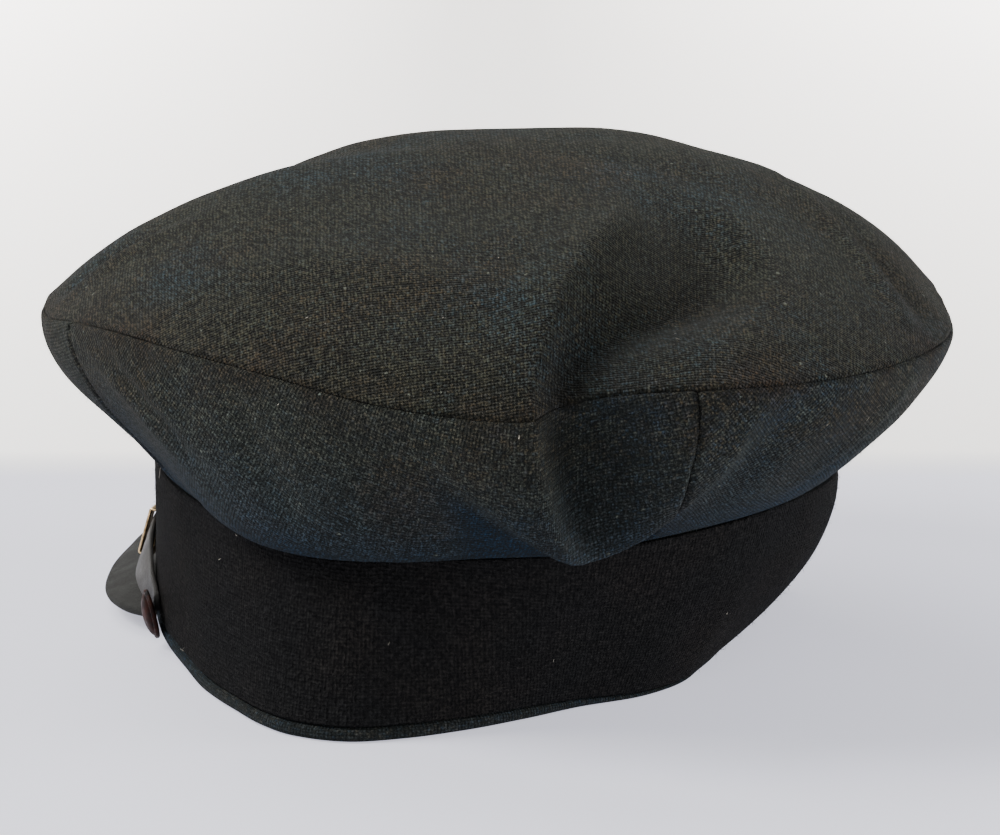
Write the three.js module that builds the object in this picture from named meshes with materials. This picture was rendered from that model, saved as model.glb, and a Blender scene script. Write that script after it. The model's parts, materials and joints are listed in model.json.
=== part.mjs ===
// Peaked cap with a large soft crown, a black band and a small leather peak.
// Millimetres, +Z up. The wearer faces -Y and the wearer's left is +X.
// Angles run round the cap in degrees: 0 at the front, 90 at the left, 180 at the back.
import * as THREE from "three";

// Plan of the cap
const bandHalfLength = 102; // head opening, front to back
const bandHalfWidth = 87; // head opening, side to side
const crownHalfLength = 131;
const crownHalfWidth = 113;
const crownPeakHeight = 130.5; // highest point of the top panel
const frameShift = { x: 1.4, y: 12.6 }; // brings the middle of the whole outline over the origin

// Walls
const crownCloth = 1.6;
const headbandCloth = 2;
const coverCloth = 1.5;
const peakLeather = 2.2;
const strapLeather = 1.3;
const meetingGap = 0.45; // left between two pieces that touch
const turnedEdge = 3; // folded lower edge of each quarter, resting on the headband
const quarterInset = 0.2; // the quarter's lower edge behind the band's face
const seamWall = 2; // slanting edge face of the cloth at the crown seam

// Band, strap and button sizes
const hemTop = 0.075; // part of the band's height where the cloth rim shows below the cover
const hemStep = 0.01; // rounds the rim's upper edge
const hemDepth = { edge: 0.4, middle: 0.2 }; // below the line of the cover's face
const coverEnds = { low: 0.084, high: 0.985 }; // parts of the band's height
const strapWidth = 10.5; // narrower at its two ends
const strapEndAngle = 75.5;
const strapSteps = 36;
const buttonAngle = 76.5;
const buttonTilt = 12; // degrees by which the button faces down
const buttonRadius = 6.5;
const buttonHeight = 3;
const buttonSides = 20;
const buttonCentreHeight = 9.2;
const buttonClearance = 0.4; // between the strap and the back of the button
const slideAngle = 48;
const slideLength = 5;
const slideWall = 0.7;
const slideClearance = { across: 0.75, deep: 0.7 }; // room for the strap's bend in the slide
const coverClearance = 0.75; // between the headband and the cover

// Lower edge of the band: out is measured from the head oval, lift from the surface below
const footRows = [
  { angle: 0, out: 0, lift: 13 },
  { angle: 30, out: 0, lift: 12 },
  { angle: 55, out: 0, lift: 7 },
  { angle: 75, out: -1, lift: 3 },
  { angle: 93, out: -0.5, lift: 1 },
  { angle: 105, out: 2.6, lift: 0 },
  { angle: 117, out: 7, lift: 0 },
  { angle: 125, out: 11.5, lift: 0 },
  { angle: 131, out: 13.5, lift: 0 },
  { angle: 139, out: 11, lift: 0 },
  { angle: 146, out: 2.5, lift: 0 },
  { angle: 154, out: -8.5, lift: 0 },
  { angle: 164, out: -20.5, lift: 0 },
  { angle: 176, out: -30, lift: 0 },
  { angle: 191, out: -32, lift: 0 },
  { angle: 203, out: -33, lift: 0 },
  { angle: 215, out: -34.5, lift: 0 },
  { angle: 234, out: -32, lift: 0 },
  { angle: 253, out: -25.5, lift: 0 },
  { angle: 268, out: -13, lift: 0.5 },
  { angle: 280, out: -2, lift: 1.5 },
  { angle: 295, out: 0, lift: 4 },
  { angle: 315, out: 0, lift: 9 },
  { angle: 337, out: 0, lift: 12 },
];

// Upper edge of the band, and how far the band's wall swells between its two edges
const rimRows = [
  { angle: 0, out: 0, height: 58, swell: 0 },
  { angle: 45, out: 0, height: 53.5, swell: 0 },
  { angle: 75, out: -1, height: 48.5, swell: 0 },
  { angle: 100, out: 0, height: 47.5, swell: 0 },
  { angle: 130, out: 5, height: 46, swell: 0 },
  { angle: 160, out: 0, height: 46.5, swell: 1 },
  { angle: 190, out: -8, height: 48, swell: 2 },
  { angle: 215, out: -7.5, height: 48.5, swell: 4.5 },
  { angle: 235, out: -2.5, height: 48, swell: 7.3 },
  { angle: 250, out: -0.3, height: 48, swell: 8.5 },
  { angle: 270, out: 0, height: 48, swell: 4 },
  { angle: 290, out: 0, height: 49, swell: 0 },
  { angle: 320, out: 0, height: 54, swell: 0 },
];

// Seam between the quarters and the top panel; puff lifts the top panel part way in
const seamRows = [
  { angle: 0, out: 0, height: 99, puff: -2.4 },
  { angle: 15, out: -1, height: 93, puff: -2 },
  { angle: 30, out: -2.3, height: 86, puff: -3 },
  { angle: 45, out: -1, height: 84.5, puff: -3 },
  { angle: 62, out: 1, height: 87, puff: 0 },
  { angle: 76, out: 1.2, height: 88, puff: 0.7 },
  { angle: 92, out: 0, height: 92.4, puff: 0 },
  { angle: 108, out: 0, height: 94.6, puff: 0 },
  { angle: 130, out: 0, height: 92.7, puff: 0 },
  { angle: 148, out: 0, height: 87.5, puff: 0 },
  { angle: 162, out: 0, height: 86, puff: 0 },
  { angle: 172, out: 0, height: 90, puff: 0 },
  { angle: 182, out: 0, height: 91.5, puff: 0 },
  { angle: 197, out: 0, height: 90, puff: 0 },
  { angle: 214, out: 0, height: 89, puff: 0 },
  { angle: 230, out: 0.5, height: 88, puff: 0 },
  { angle: 245, out: 0.5, height: 88, puff: 3 },
  { angle: 262, out: 3, height: 90, puff: 3.7 },
  { angle: 280, out: 2.5, height: 95, puff: 2.5 },
  { angle: 300, out: 1.5, height: 97, puff: 2.5 },
  { angle: 330, out: 0, height: 98.5, puff: -1 },
];

// How each quarter leaves the band (low) and meets the seam (high): handles of its curve
const bellyRows = [
  { angle: 0, lowOut: 10, lowUp: 10, highOut: 1, highDown: 13 },
  { angle: 62, lowOut: 9, lowUp: 10.5, highOut: 2.5, highDown: 19 },
  { angle: 95, lowOut: 3.5, lowUp: 6.5, highOut: 2.5, highDown: 16 },
  { angle: 125, lowOut: 14.5, lowUp: -8.5, highOut: 2, highDown: 16 },
  { angle: 145, lowOut: 14, lowUp: -5, highOut: 2, highDown: 16 },
  { angle: 158, lowOut: 12, lowUp: -1, highOut: 2, highDown: 15 },
  { angle: 172, lowOut: 12, lowUp: 0, highOut: 2, highDown: 15 },
  { angle: 187, lowOut: 11, lowUp: 3.5, highOut: 2, highDown: 15 },
  { angle: 215, lowOut: 9, lowUp: 2.5, highOut: 1, highDown: 13.5 },
  { angle: 242, lowOut: 5, lowUp: 12, highOut: 1, highDown: 11 },
  { angle: 300, lowOut: 10, lowUp: 10, highOut: 1, highDown: 13 },
];

// Share of the crown's rise, from the middle of the top panel (reach 0) to its seam (reach 1)
const riseRows = [
  { reach: 0, share: 1 },
  { reach: 0.25, share: 0.935 },
  { reach: 0.5, share: 0.79 },
  { reach: 0.75, share: 0.49 },
  { reach: 0.9, share: 0.24 },
  { reach: 1, share: 0 },
];

// Folds that cross the seam. Climb is 0 at the band, 1 at the seam and 2 in the middle of the
// top panel. Before and after are the fold's widths on each side of its line, in degrees.
// Power shapes the side before the line: 1 starts it with a crisp edge, 2 softly.
const deepFold = [
  { climb: 0.1, angle: 171, depth: 0, before: 3, after: 6, power: 2 },
  { climb: 0.3, angle: 170.3, depth: 4.5, before: 3.2, after: 8, power: 1.3 },
  { climb: 0.55, angle: 168.6, depth: 11.5, before: 3.8, after: 11, power: 1 },
  { climb: 0.82, angle: 167.3, depth: 12.5, before: 4.4, after: 14, power: 1.1 },
  { climb: 1, angle: 167.6, depth: 12, before: 4.9, after: 17, power: 1 },
  { climb: 1.08, angle: 170.3, depth: 13, before: 7.3, after: 18, power: 1 },
  { climb: 1.15, angle: 176, depth: 13, before: 11.2, after: 19, power: 1 },
  { climb: 1.23, angle: 183, depth: 13, before: 16, after: 20, power: 1.05 },
  { climb: 1.32, angle: 189, depth: 11.5, before: 18.5, after: 21, power: 1.3 },
  { climb: 1.42, angle: 193, depth: 8.5, before: 17, after: 22, power: 1.6 },
  { climb: 1.52, angle: 199, depth: 4.5, before: 14, after: 22, power: 1.8 },
  { climb: 1.62, angle: 206, depth: 1.5, before: 12, after: 22, power: 2 },
  { climb: 1.72, angle: 214, depth: 0, before: 12, after: 22, power: 2 },
];
const foldRidge = [
  { climb: 0, angle: 169, depth: 0, before: 6, after: 3, power: 2 },
  { climb: 0.25, angle: 168, depth: -1.5, before: 8, after: 2.6, power: 2 },
  { climb: 0.55, angle: 165.2, depth: -2.4, before: 10, after: 2.4, power: 2 },
  { climb: 0.85, angle: 163, depth: -2, before: 10, after: 2.6, power: 2 },
  { climb: 1, angle: 162.8, depth: -1.8, before: 10, after: 3, power: 2 },
  { climb: 1.15, angle: 164.8, depth: -2.6, before: 10, after: 3.4, power: 2 },
  { climb: 1.3, angle: 169.5, depth: -2.6, before: 12, after: 5, power: 2 },
  { climb: 1.42, angle: 176, depth: -1.8, before: 14, after: 8, power: 2 },
  { climb: 1.55, angle: 188, depth: 0, before: 16, after: 12, power: 2 },
];

// Pouch of slack cloth that hangs over the band below the deep fold: where its lower edge runs
// and how far it stands out above that edge
const pouchRows = [
  { angle: 149, climb: 0.8, out: 0 },
  { angle: 154, climb: 0.66, out: 2 },
  { angle: 159, climb: 0.49, out: 4.2 },
  { angle: 162.5, climb: 0.36, out: 5.6 },
  { angle: 166, climb: 0.24, out: 6.8 },
  { angle: 169.5, climb: 0.17, out: 7.2 },
  { angle: 173, climb: 0.19, out: 6.6 },
  { angle: 177, climb: 0.27, out: 5 },
  { angle: 181, climb: 0.39, out: 3 },
  { angle: 187, climb: 0.54, out: 0 },
];
const pouchLip = { from: -2, to: 4.5 }; // width of its rounded lower edge, along the cloth
const pouchReach = 30; // dies out this far above its edge
const pouchSag = 0.5; // share by which it also hangs down

// Soft dents (depth above 0) and ridges (below 0) of the top panel, placed in plan
const topDents = [
  { x: -30, y: 65, turn: 75, length: 38, width: 9, depth: 3 },
  { x: -19, y: 66, turn: 74, length: 28, width: 7, depth: -1 },
  { x: 8, y: 36, turn: 85, length: 30, width: 32, depth: 2.6 },
  { x: -74, y: 58, turn: 90, length: 40, width: 4.5, depth: -3 },
  { x: -83, y: 60, turn: 92, length: 42, width: 6, depth: 3 },
  { x: 99, y: -16, turn: 147, length: 16, width: 5, depth: -1.8 },
  { x: 95, y: -25, turn: 147, length: 18, width: 5, depth: 2 },
  { x: 33, y: 38, turn: -45, length: 36, width: 28, depth: 3.5 },
  { x: 52, y: 68, turn: -45, length: 40, width: 8, depth: -1.3 },
];

// The same on the quarters, placed by angle and climb
const sideDents = [
  { angle: 131.3, climb: 0.64, turn: -42, length: 10, width: 5, depth: 2.2 },
  { angle: 109, climb: 0.65, turn: -21, length: 24, width: 3.4, depth: -1.6 },
  { angle: 111, climb: 0.7, turn: -21, length: 24, width: 3, depth: 1.3 },
  { angle: 112.5, climb: 0.76, turn: -21, length: 20, width: 3, depth: -1.2 },
  { angle: 151, climb: 0.42, turn: -42, length: 20, width: 7, depth: 2.2 },
  { angle: 184.5, climb: 0.66, turn: 62, length: 13, width: 3.6, depth: -1.8 },
  { angle: 190, climb: 0.66, turn: 58, length: 14, width: 6, depth: 2.2 },
  { angle: 205.5, climb: 0.6, turn: 36, length: 15, width: 3.2, depth: -1.6 },
  { angle: 208, climb: 0.53, turn: 36, length: 15, width: 3, depth: 1.5 },
];
const sideScale = { perDegree: 2.05, perClimb: 46 }; // quarter cloth, laid flat, in millimetres
const dentFade = { quarter: 0.12, top: 0.08 }; // dents die out this near to the seams
const foldTip = { degrees: 84, from: 0.95, to: 1.4 }; // climbs between which a fold turns downward
const puffScale = 6.75; // makes a puff its own height where it is highest
const nearSeam = 0.985; // climb or reach where the wall's slope at the seam is read

// Peak: reach of its outer edge beyond the band, and the height of that edge's upper side
const peakRows = [
  { angle: 0, reach: 54, height: 2.2 },
  { angle: 10, reach: 52, height: 2.4 },
  { angle: 20, reach: 44.5, height: 3.2 },
  { angle: 31, reach: 30.5, height: 4.2 },
  { angle: 43, reach: 21, height: 5.2 },
  { angle: 54.7, reach: 15, height: 5.8 },
  { angle: 60, reach: 12, height: 6.2 },
  { angle: 65.6, reach: 7.5, height: 6.6 },
  { angle: 69.5, reach: 2, height: 7 },
];
const peakRootRise = 3; // upper side of the peak above the band's lower edge
const peakArch = 1; // swell of the peak between its root and its edge
const peakArchReach = 30; // where the peak is shorter than this it swells less
const peakSections = [0, 0.12, 0.4, 0.7, 0.92, 1];
const peakSteps = 36;

// Chin strap: height of its middle above the band's lower edge, its stand-off from the band, the
// degrees by which its lower edge leans out, and the share of its width that it keeps
const strapRows = [
  { angle: 0, rise: 11.4, stand: 0.4, lean: 0, share: 1 },
  { angle: 30, rise: 11.4, stand: 0.8, lean: 0, share: 1 },
  { angle: 40, rise: 11.4, stand: 3, lean: 11, share: 1 },
  { angle: 48, rise: 11.3, stand: 3.7, lean: 16, share: 1 },
  { angle: 55, rise: 11, stand: 3.1, lean: 21, share: 0.92 },
  { angle: 61, rise: 10.4, stand: 2.5, lean: 25, share: 0.85 },
  { angle: 66, rise: 9.7, stand: 1.7, lean: 17, share: 0.8 },
  { angle: 70, rise: 9.2, stand: 0.9, lean: 5, share: 0.7 },
  { angle: 73, rise: 9, stand: 0.4, lean: 0, share: 0.55 },
  { angle: 75.5, rise: 8.6, stand: 0.4, lean: 0, share: 0.4 },
];

// Half section of the side button, as parts of its radius and of its height
const buttonRows = [
  { radius: 0, height: 0 },
  { radius: 0.9, height: 0 },
  { radius: 1, height: 0.17 },
  { radius: 1, height: 0.36 },
  { radius: 0.9, height: 0.5 },
  { radius: 0.6, height: 0.85 },
  { radius: 0.3, height: 0.97 },
  { radius: 0, height: 1 },
];

// Divisions: closer together where the deep fold crosses the crown
const angleZones = [
  { from: 0, to: 90, steps: 11 },
  { from: 90, to: 120, steps: 4 },
  { from: 120, to: 154, steps: 8 },
  { from: 154, to: 180, steps: 18 },
  { from: 180, to: 225, steps: 9 },
  { from: 225, to: 270, steps: 6 },
  { from: 270, to: 360, steps: 8 },
];
const quarterClimbs = [0, 0.1, 0.22, 0.35, 0.5, 0.64, 0.78, 0.9, 1];
const wallLevels = [0.3, 0.53, 0.76];
const topReaches = [1, 0.97, 0.93, 0.88, 0.81, 0.73, 0.63, 0.52, 0.4, 0.27, 0.14];
const leastDivision = 0.5; // degrees between a piece's end and its first division
const angleStep = 0.3; // steps over which a slope is read
const levelStep = 0.01;

const up = new THREE.Vector3(0, 0, 1);
const fullTurn = 360;
const radians = THREE.MathUtils.degToRad;
const smooth = THREE.MathUtils.smoothstep;

// Low round hill from part 0 to part 1, one high in its middle
function hump(part) {
  return 4 * part * (1 - part);
}

// Smooth curve through two neighbouring rows, with the slopes that the rows beyond them give
function between(rows, index, key, name, at) {
  const [far, low, high, beyond] = [-1, 0, 1, 2].map((step) => rows(index + step));
  const span = high[key] - low[key];
  const t = THREE.MathUtils.clamp((at - low[key]) / span, 0, 1);
  const slopeLow = ((high[name] - far[name]) / (high[key] - far[key])) * span;
  const slopeHigh = ((beyond[name] - low[name]) / (beyond[key] - low[key])) * span;
  const t2 = t * t;
  const t3 = t2 * t;
  return (2 * t3 - 3 * t2 + 1) * low[name] + (t3 - 2 * t2 + t) * slopeLow
    + (3 * t2 - 2 * t3) * high[name] + (t3 - t2) * slopeHigh;
}

// Value of a table that runs round the cap and closes on itself
function around(table, angle, name) {
  const turned = ((angle % fullTurn) + fullTurn) % fullTurn;
  const count = table.length;
  const row = (i) => {
    const laps = Math.floor(i / count);
    const source = table[i - laps * count];
    return { angle: source.angle + laps * fullTurn, [name]: source[name] };
  };
  let index = count - 1;
  while (index > 0 && table[index].angle > turned) {
    index -= 1;
  }
  return between(row, index, "angle", name, turned);
}

// Value of a table that has two ends
function along(table, key, at, name) {
  const last = table.length - 1;
  const row = (i) => table[THREE.MathUtils.clamp(i, 0, last)];
  let index = last - 1;
  while (index > 0 && table[index][key] > at) {
    index -= 1;
  }
  return between(row, index, key, name, at);
}

function outward(angle) {
  return new THREE.Vector3(Math.sin(radians(angle)), -Math.cos(radians(angle)), 0);
}

function ovalRadius(angle, halfWidth, halfLength) {
  return 1 / Math.hypot(Math.sin(radians(angle)) / halfWidth, Math.cos(radians(angle)) / halfLength);
}

function bandFoot(angle) {
  const radius = ovalRadius(angle, bandHalfWidth, bandHalfLength) + around(footRows, angle, "out");
  return outward(angle).multiplyScalar(radius).setZ(Math.max(0, around(footRows, angle, "lift")));
}

function bandRim(angle) {
  const radius = ovalRadius(angle, bandHalfWidth, bandHalfLength) + around(rimRows, angle, "out");
  return outward(angle).multiplyScalar(radius).setZ(around(rimRows, angle, "height"));
}

function crownSeam(angle) {
  const radius = ovalRadius(angle, crownHalfWidth, crownHalfLength) + around(seamRows, angle, "out");
  return outward(angle).multiplyScalar(radius).setZ(around(seamRows, angle, "height"));
}

// Outer face of the band; level runs from 0 at its lower edge to 1 at its upper edge
function bandFace(angle, level) {
  const swell = around(rimRows, angle, "swell") * hump(level);
  return bandFoot(angle).lerp(bandRim(angle), level).addScaledVector(outward(angle), swell);
}

// Depth of one fold at a place on the crown
function foldDepth(fold, angle, climb) {
  const reached = climb >= fold[0].climb && climb <= fold[fold.length - 1].climb;
  const read = (name) => along(fold, "climb", climb, name);
  const offset = THREE.MathUtils.euclideanModulo(angle - read("angle") + 180, fullTurn) - 180;
  const part = THREE.MathUtils.clamp(offset / read(offset < 0 ? "before" : "after"), -1, 1);
  const power = offset < 0 ? read("power") : 2;
  return reached ? read("depth") * (1 - part * part) ** power : 0;
}

// How far the pouch stands out at a place on the quarters
function pouchBulge(angle, climb) {
  const above = (climb - along(pouchRows, "angle", angle, "climb")) * sideScale.perClimb;
  const rise = smooth(above, pouchLip.from, pouchLip.to);
  const fade = 1 - smooth(above, pouchLip.to, pouchReach);
  return along(pouchRows, "angle", angle, "out") * rise * fade;
}

// The folds push in on the quarters, and more and more down on the top panel
function foldShift(angle, climb) {
  const depth = foldDepth(deepFold, angle, climb) + foldDepth(foldRidge, angle, climb);
  const tip = radians(foldTip.degrees) * smooth(climb, foldTip.from, foldTip.to);
  const shift = outward(angle).multiplyScalar(-depth * Math.cos(tip));
  return shift.addScaledVector(up, -depth * Math.sin(tip));
}

function dentDepth(dent, offsetX, offsetY) {
  const turn = radians(dent.turn);
  const lengthwise = (offsetX * Math.cos(turn) + offsetY * Math.sin(turn)) / dent.length;
  const crosswise = (offsetY * Math.cos(turn) - offsetX * Math.sin(turn)) / dent.width;
  return dent.depth * Math.exp(-(lengthwise ** 2) - crosswise ** 2);
}

// Outer face of the quarters, from the band (climb 0) to the crown seam (climb 1)
function quarterFace(angle, climb) {
  const read = (name) => around(bellyRows, angle, name);
  const out = outward(angle);
  const low = bandRim(angle);
  const high = crownSeam(angle);
  const lowHandle = low.clone().addScaledVector(out, read("lowOut")).addScaledVector(up, read("lowUp"));
  const highHandle = high.clone().addScaledVector(out, read("highOut"))
    .addScaledVector(up, -read("highDown"));
  const curve = new THREE.CubicBezierCurve3(low, lowHandle, highHandle, high);
  let depth = 0;
  for (const dent of sideDents) {
    const offsetX = (angle - dent.angle) * sideScale.perDegree;
    depth += dentDepth(dent, offsetX, (climb - dent.climb) * sideScale.perClimb);
  }
  const nearTop = smooth(1 - climb, 0, dentFade.quarter);
  depth *= smooth(climb, 0, dentFade.quarter) * nearTop;
  const bulge = pouchBulge(angle, climb) * nearTop;
  return curve.getPoint(climb).add(foldShift(angle, climb)).addScaledVector(out, bulge - depth)
    .addScaledVector(up, -bulge * pouchSag);
}

// Outer face of the top panel, from its middle (reach 0) to the crown seam (reach 1)
function topFace(angle, reach) {
  const point = crownSeam(angle);
  const share = along(riseRows, "reach", reach, "share");
  const puff = around(seamRows, angle, "puff") * puffScale * reach * reach * (1 - reach);
  const height = point.z * (1 - share) + crownPeakHeight * share + puff;
  point.multiplyScalar(reach).setZ(height);
  let depth = 0;
  for (const dent of topDents) {
    depth += dentDepth(dent, point.x - dent.x, point.y - dent.y);
  }
  depth *= smooth(1 - reach, 0, dentFade.top);
  return point.add(foldShift(angle, 2 - reach)).addScaledVector(up, -depth);
}

// Unit normal of a face at an angle and a level, climb or reach
function faceNormal(face, angle, level) {
  const alongAngle = face(angle + angleStep, level).sub(face(angle - angleStep, level));
  const alongLevel = face(angle, level + levelStep).sub(face(angle, level - levelStep));
  return alongAngle.cross(alongLevel).normalize();
}

// The angles of all divisions from one angle to another
function divisions(from, to) {
  const angles = [];
  for (const zone of angleZones) {
    for (let i = 0; i < zone.steps; i += 1) {
      angles.push(zone.from + ((zone.to - zone.from) * i) / zone.steps);
    }
  }
  const inside = (angle) => angle > from + leastDivision && angle < to - leastDivision;
  return [from, ...angles.filter(inside), to];
}

// Closed body from rows of points; each row is one loop round the body's section.
// Rows join in order, and either close on the first row or end in caps.
function bodyFromLoops(loops, closed) {
  const size = loops[0].length;
  const positions = loops.flat().flatMap((point) => [point.x, point.y, point.z]);
  const index = [];
  const stretches = closed ? loops.length : loops.length - 1;
  for (let i = 0; i < stretches; i += 1) {
    const here = i * size;
    const next = ((i + 1) % loops.length) * size;
    for (let j = 0; j < size; j += 1) {
      const k = (j + 1) % size;
      index.push(here + j, next + j, next + k, here + j, next + k, here + k);
    }
  }
  if (!closed) {
    const last = (loops.length - 1) * size;
    for (let j = 1; j < size / 2; j += 1) {
      const [a, b, c, d] = [j - 1, j, size - 1 - j, size - j];
      index.push(a, b, c, a, c, d);
      index.push(last + a, last + c, last + b, last + a, last + d, last + c);
    }
  }
  return outwardFacing(positions, index);
}

// A solid whose triangles all face out, whichever way its loops ran
function outwardFacing(positions, index) {
  const corner = (i) => new THREE.Vector3().fromArray(positions, index[i] * 3);
  let volume = 0;
  for (let i = 0; i < index.length; i += 3) {
    volume += corner(i).dot(corner(i + 1).cross(corner(i + 2)));
  }
  if (volume < 0) {
    index.reverse();
  }
  const geometry = new THREE.BufferGeometry();
  geometry.setAttribute("position", new THREE.Float32BufferAttribute(positions, 3));
  geometry.setIndex(index);
  geometry.computeVertexNormals();
  return geometry;
}

// At the crown seam both walls end on one slanting face, each a half gap away from it
function seamEdge(angle) {
  const topNormal = faceNormal(topFace, angle, nearSeam).negate();
  const sideNormal = faceNormal(quarterFace, angle, nearSeam);
  const inward = topNormal.clone().add(sideNormal).normalize().multiplyScalar(-seamWall);
  const side = topNormal.clone().sub(sideNormal).normalize().multiplyScalar(meetingGap / 2);
  return { inward, side };
}

function crownTop() {
  const angles = divisions(0, fullTurn).slice(0, -1);
  const outer = [];
  const inner = [];
  for (const reach of topReaches) {
    for (const angle of angles) {
      const point = topFace(angle, reach);
      if (reach === 1) {
        const edge = seamEdge(angle);
        point.add(edge.side);
        outer.push(point);
        inner.push(point.clone().add(edge.inward));
      } else {
        const normal = faceNormal(topFace, angle, reach).negate();
        outer.push(point);
        inner.push(point.clone().addScaledVector(normal, -crownCloth));
      }
    }
  }
  const middle = topFace(0, 0);
  outer.push(middle);
  inner.push(middle.clone().addScaledVector(up, -crownCloth));
  const count = angles.length;
  const under = outer.length;
  const index = [];
  for (let j = 0; j < count; j += 1) {
    const k = (j + 1) % count;
    for (let i = 0; i < topReaches.length - 1; i += 1) {
      const [a, b, c, d] = [i * count + j, i * count + k, (i + 1) * count + k, (i + 1) * count + j];
      index.push(a, b, c, a, c, d);
      index.push(under + a, under + c, under + b, under + a, under + d, under + c);
    }
    const last = (topReaches.length - 1) * count;
    index.push(last + j, last + k, under - 1);
    index.push(under + last + k, under + last + j, under + under - 1);
    index.push(j, under + j, k, k, under + j, under + k);
  }
  return outwardFacing([...outer, ...inner].flatMap((point) => point.toArray()), index);
}

function quarter(from, to) {
  const halfGap = THREE.MathUtils.radToDeg(meetingGap / 2 / bandHalfWidth);
  const loops = divisions(from + halfGap, to - halfGap).map((angle) => {
    const outer = [];
    const inner = [];
    for (const climb of quarterClimbs) {
      const point = quarterFace(angle, climb);
      if (climb === 0) {
        point.addScaledVector(outward(angle), -quarterInset).addScaledVector(up, meetingGap);
        inner.unshift(point.clone().addScaledVector(outward(angle), -turnedEdge));
      } else if (climb === 1) {
        const edge = seamEdge(angle);
        point.sub(edge.side);
        inner.unshift(point.clone().add(edge.inward));
      } else {
        const normal = faceNormal(quarterFace, angle, climb);
        inner.unshift(point.clone().addScaledVector(normal, -crownCloth));
      }
      outer.push(point);
    }
    return [...outer, ...inner];
  });
  return bodyFromLoops(loops, false);
}

// Ring round the head whose section is given by depths below the band's outer face and levels
function bandRing(section) {
  const loops = divisions(0, fullTurn).slice(0, -1).map((angle) => section.map(([depth, level]) => {
    const normal = faceNormal(bandFace, angle, level).setZ(0).normalize();
    return bandFace(angle, level).addScaledVector(normal, -depth);
  }));
  return bodyFromLoops(loops, true);
}

function headband() {
  const behindCover = coverCloth + coverClearance;
  const inside = behindCover + headbandCloth;
  const wall = (depth) => wallLevels.map((level) => [depth, level]);
  return bandRing([
    [hemDepth.edge, 0], [hemDepth.middle, hemTop / 2], [hemDepth.edge, hemTop - hemStep],
    [behindCover, hemTop], ...wall(behindCover), [behindCover, 1],
    [inside, 1], ...wall(inside).reverse(), [inside, 0],
  ]);
}

function bandCover() {
  const { low, high } = coverEnds;
  const wall = (depth) => wallLevels.map((level) => [depth, level]);
  return bandRing([
    [0, low], ...wall(0), [0, high],
    [coverCloth, high], ...wall(coverCloth).reverse(), [coverCloth, low],
  ]);
}

// Values of a table whose left and right sides are alike
function mirrored(table, angle, name) {
  return along(table, "angle", Math.abs(angle), name);
}

function peak() {
  const endAngle = peakRows[peakRows.length - 1].angle;
  const loops = [];
  for (let i = 0; i <= peakSteps; i += 1) {
    const angle = endAngle * (-1 + (2 * i) / peakSteps);
    const root = bandFoot(angle).addScaledVector(outward(angle), meetingGap);
    root.z += peakRootRise;
    const reach = mirrored(peakRows, angle, "reach");
    const edge = root.clone().addScaledVector(outward(angle), reach);
    edge.z = mirrored(peakRows, angle, "height");
    const above = peakSections.map((part) => {
      const arch = peakArch * hump(part) * Math.min(1, reach / peakArchReach);
      return root.clone().lerp(edge, part).addScaledVector(up, arch);
    });
    const below = above.map((point) => point.clone().addScaledVector(up, -peakLeather)).reverse();
    loops.push([...above, ...below]);
  }
  return bodyFromLoops(loops, false);
}

// Middle line of the chin strap, with the directions across its width and its thickness
function strapFrame(angle) {
  const foot = bandFoot(angle);
  const wallHeight = bandRim(angle).z - foot.z;
  const rise = mirrored(strapRows, angle, "rise");
  const level = rise / wallHeight;
  const normal = faceNormal(bandFace, angle, level);
  const wide = bandFace(angle, level + levelStep).sub(bandFace(angle, level - levelStep)).normalize();
  const lengthwise = wide.clone().cross(normal).normalize();
  const stand = mirrored(strapRows, angle, "stand") + strapLeather / 2;
  const centre = bandFace(angle, level).addScaledVector(normal, stand);
  const lean = radians(mirrored(strapRows, angle, "lean"));
  for (const direction of [normal, wide]) {
    direction.applyAxisAngle(lengthwise, -lean);
  }
  return { centre, normal, wide, lengthwise };
}

function rectangleLoop(frame, halfWide, halfThick) {
  const corners = [[-1, -1], [1, -1], [1, 1], [-1, 1]];
  return corners.map(([wide, thick]) => frame.centre.clone()
    .addScaledVector(frame.wide, wide * halfWide).addScaledVector(frame.normal, thick * halfThick));
}

function chinStrap() {
  const loops = [];
  for (let i = 0; i <= strapSteps; i += 1) {
    const angle = strapEndAngle * (-1 + (2 * i) / strapSteps);
    const width = strapWidth * mirrored(strapRows, angle, "share");
    loops.push(rectangleLoop(strapFrame(angle), width / 2, strapLeather / 2));
  }
  return bodyFromLoops(loops, false);
}

// Flat metal loop that the strap runs through
function strapSlide() {
  const insideHeight = strapWidth + 2 * slideClearance.across;
  const insideDepth = strapLeather + 2 * slideClearance.deep;
  const box = (height, depth) => new THREE.Shape([
    new THREE.Vector2(-depth / 2, -height / 2), new THREE.Vector2(depth / 2, -height / 2),
    new THREE.Vector2(depth / 2, height / 2), new THREE.Vector2(-depth / 2, height / 2),
  ]);
  const shape = box(insideHeight + 2 * slideWall, insideDepth + 2 * slideWall);
  shape.holes.push(new THREE.Path(box(insideHeight, insideDepth).getPoints()));
  const geometry = new THREE.ExtrudeGeometry(shape, { depth: slideLength, bevelEnabled: false });
  return geometry.translate(0, 0, -slideLength / 2);
}

// Domed button whose flat back lies on the strap
function sideButton() {
  const points = buttonRows.map((row) => (
    new THREE.Vector2(row.radius * buttonRadius, row.height * buttonHeight)
  ));
  return new THREE.LatheGeometry(points, buttonSides).rotateX(Math.PI / 2);
}

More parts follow.
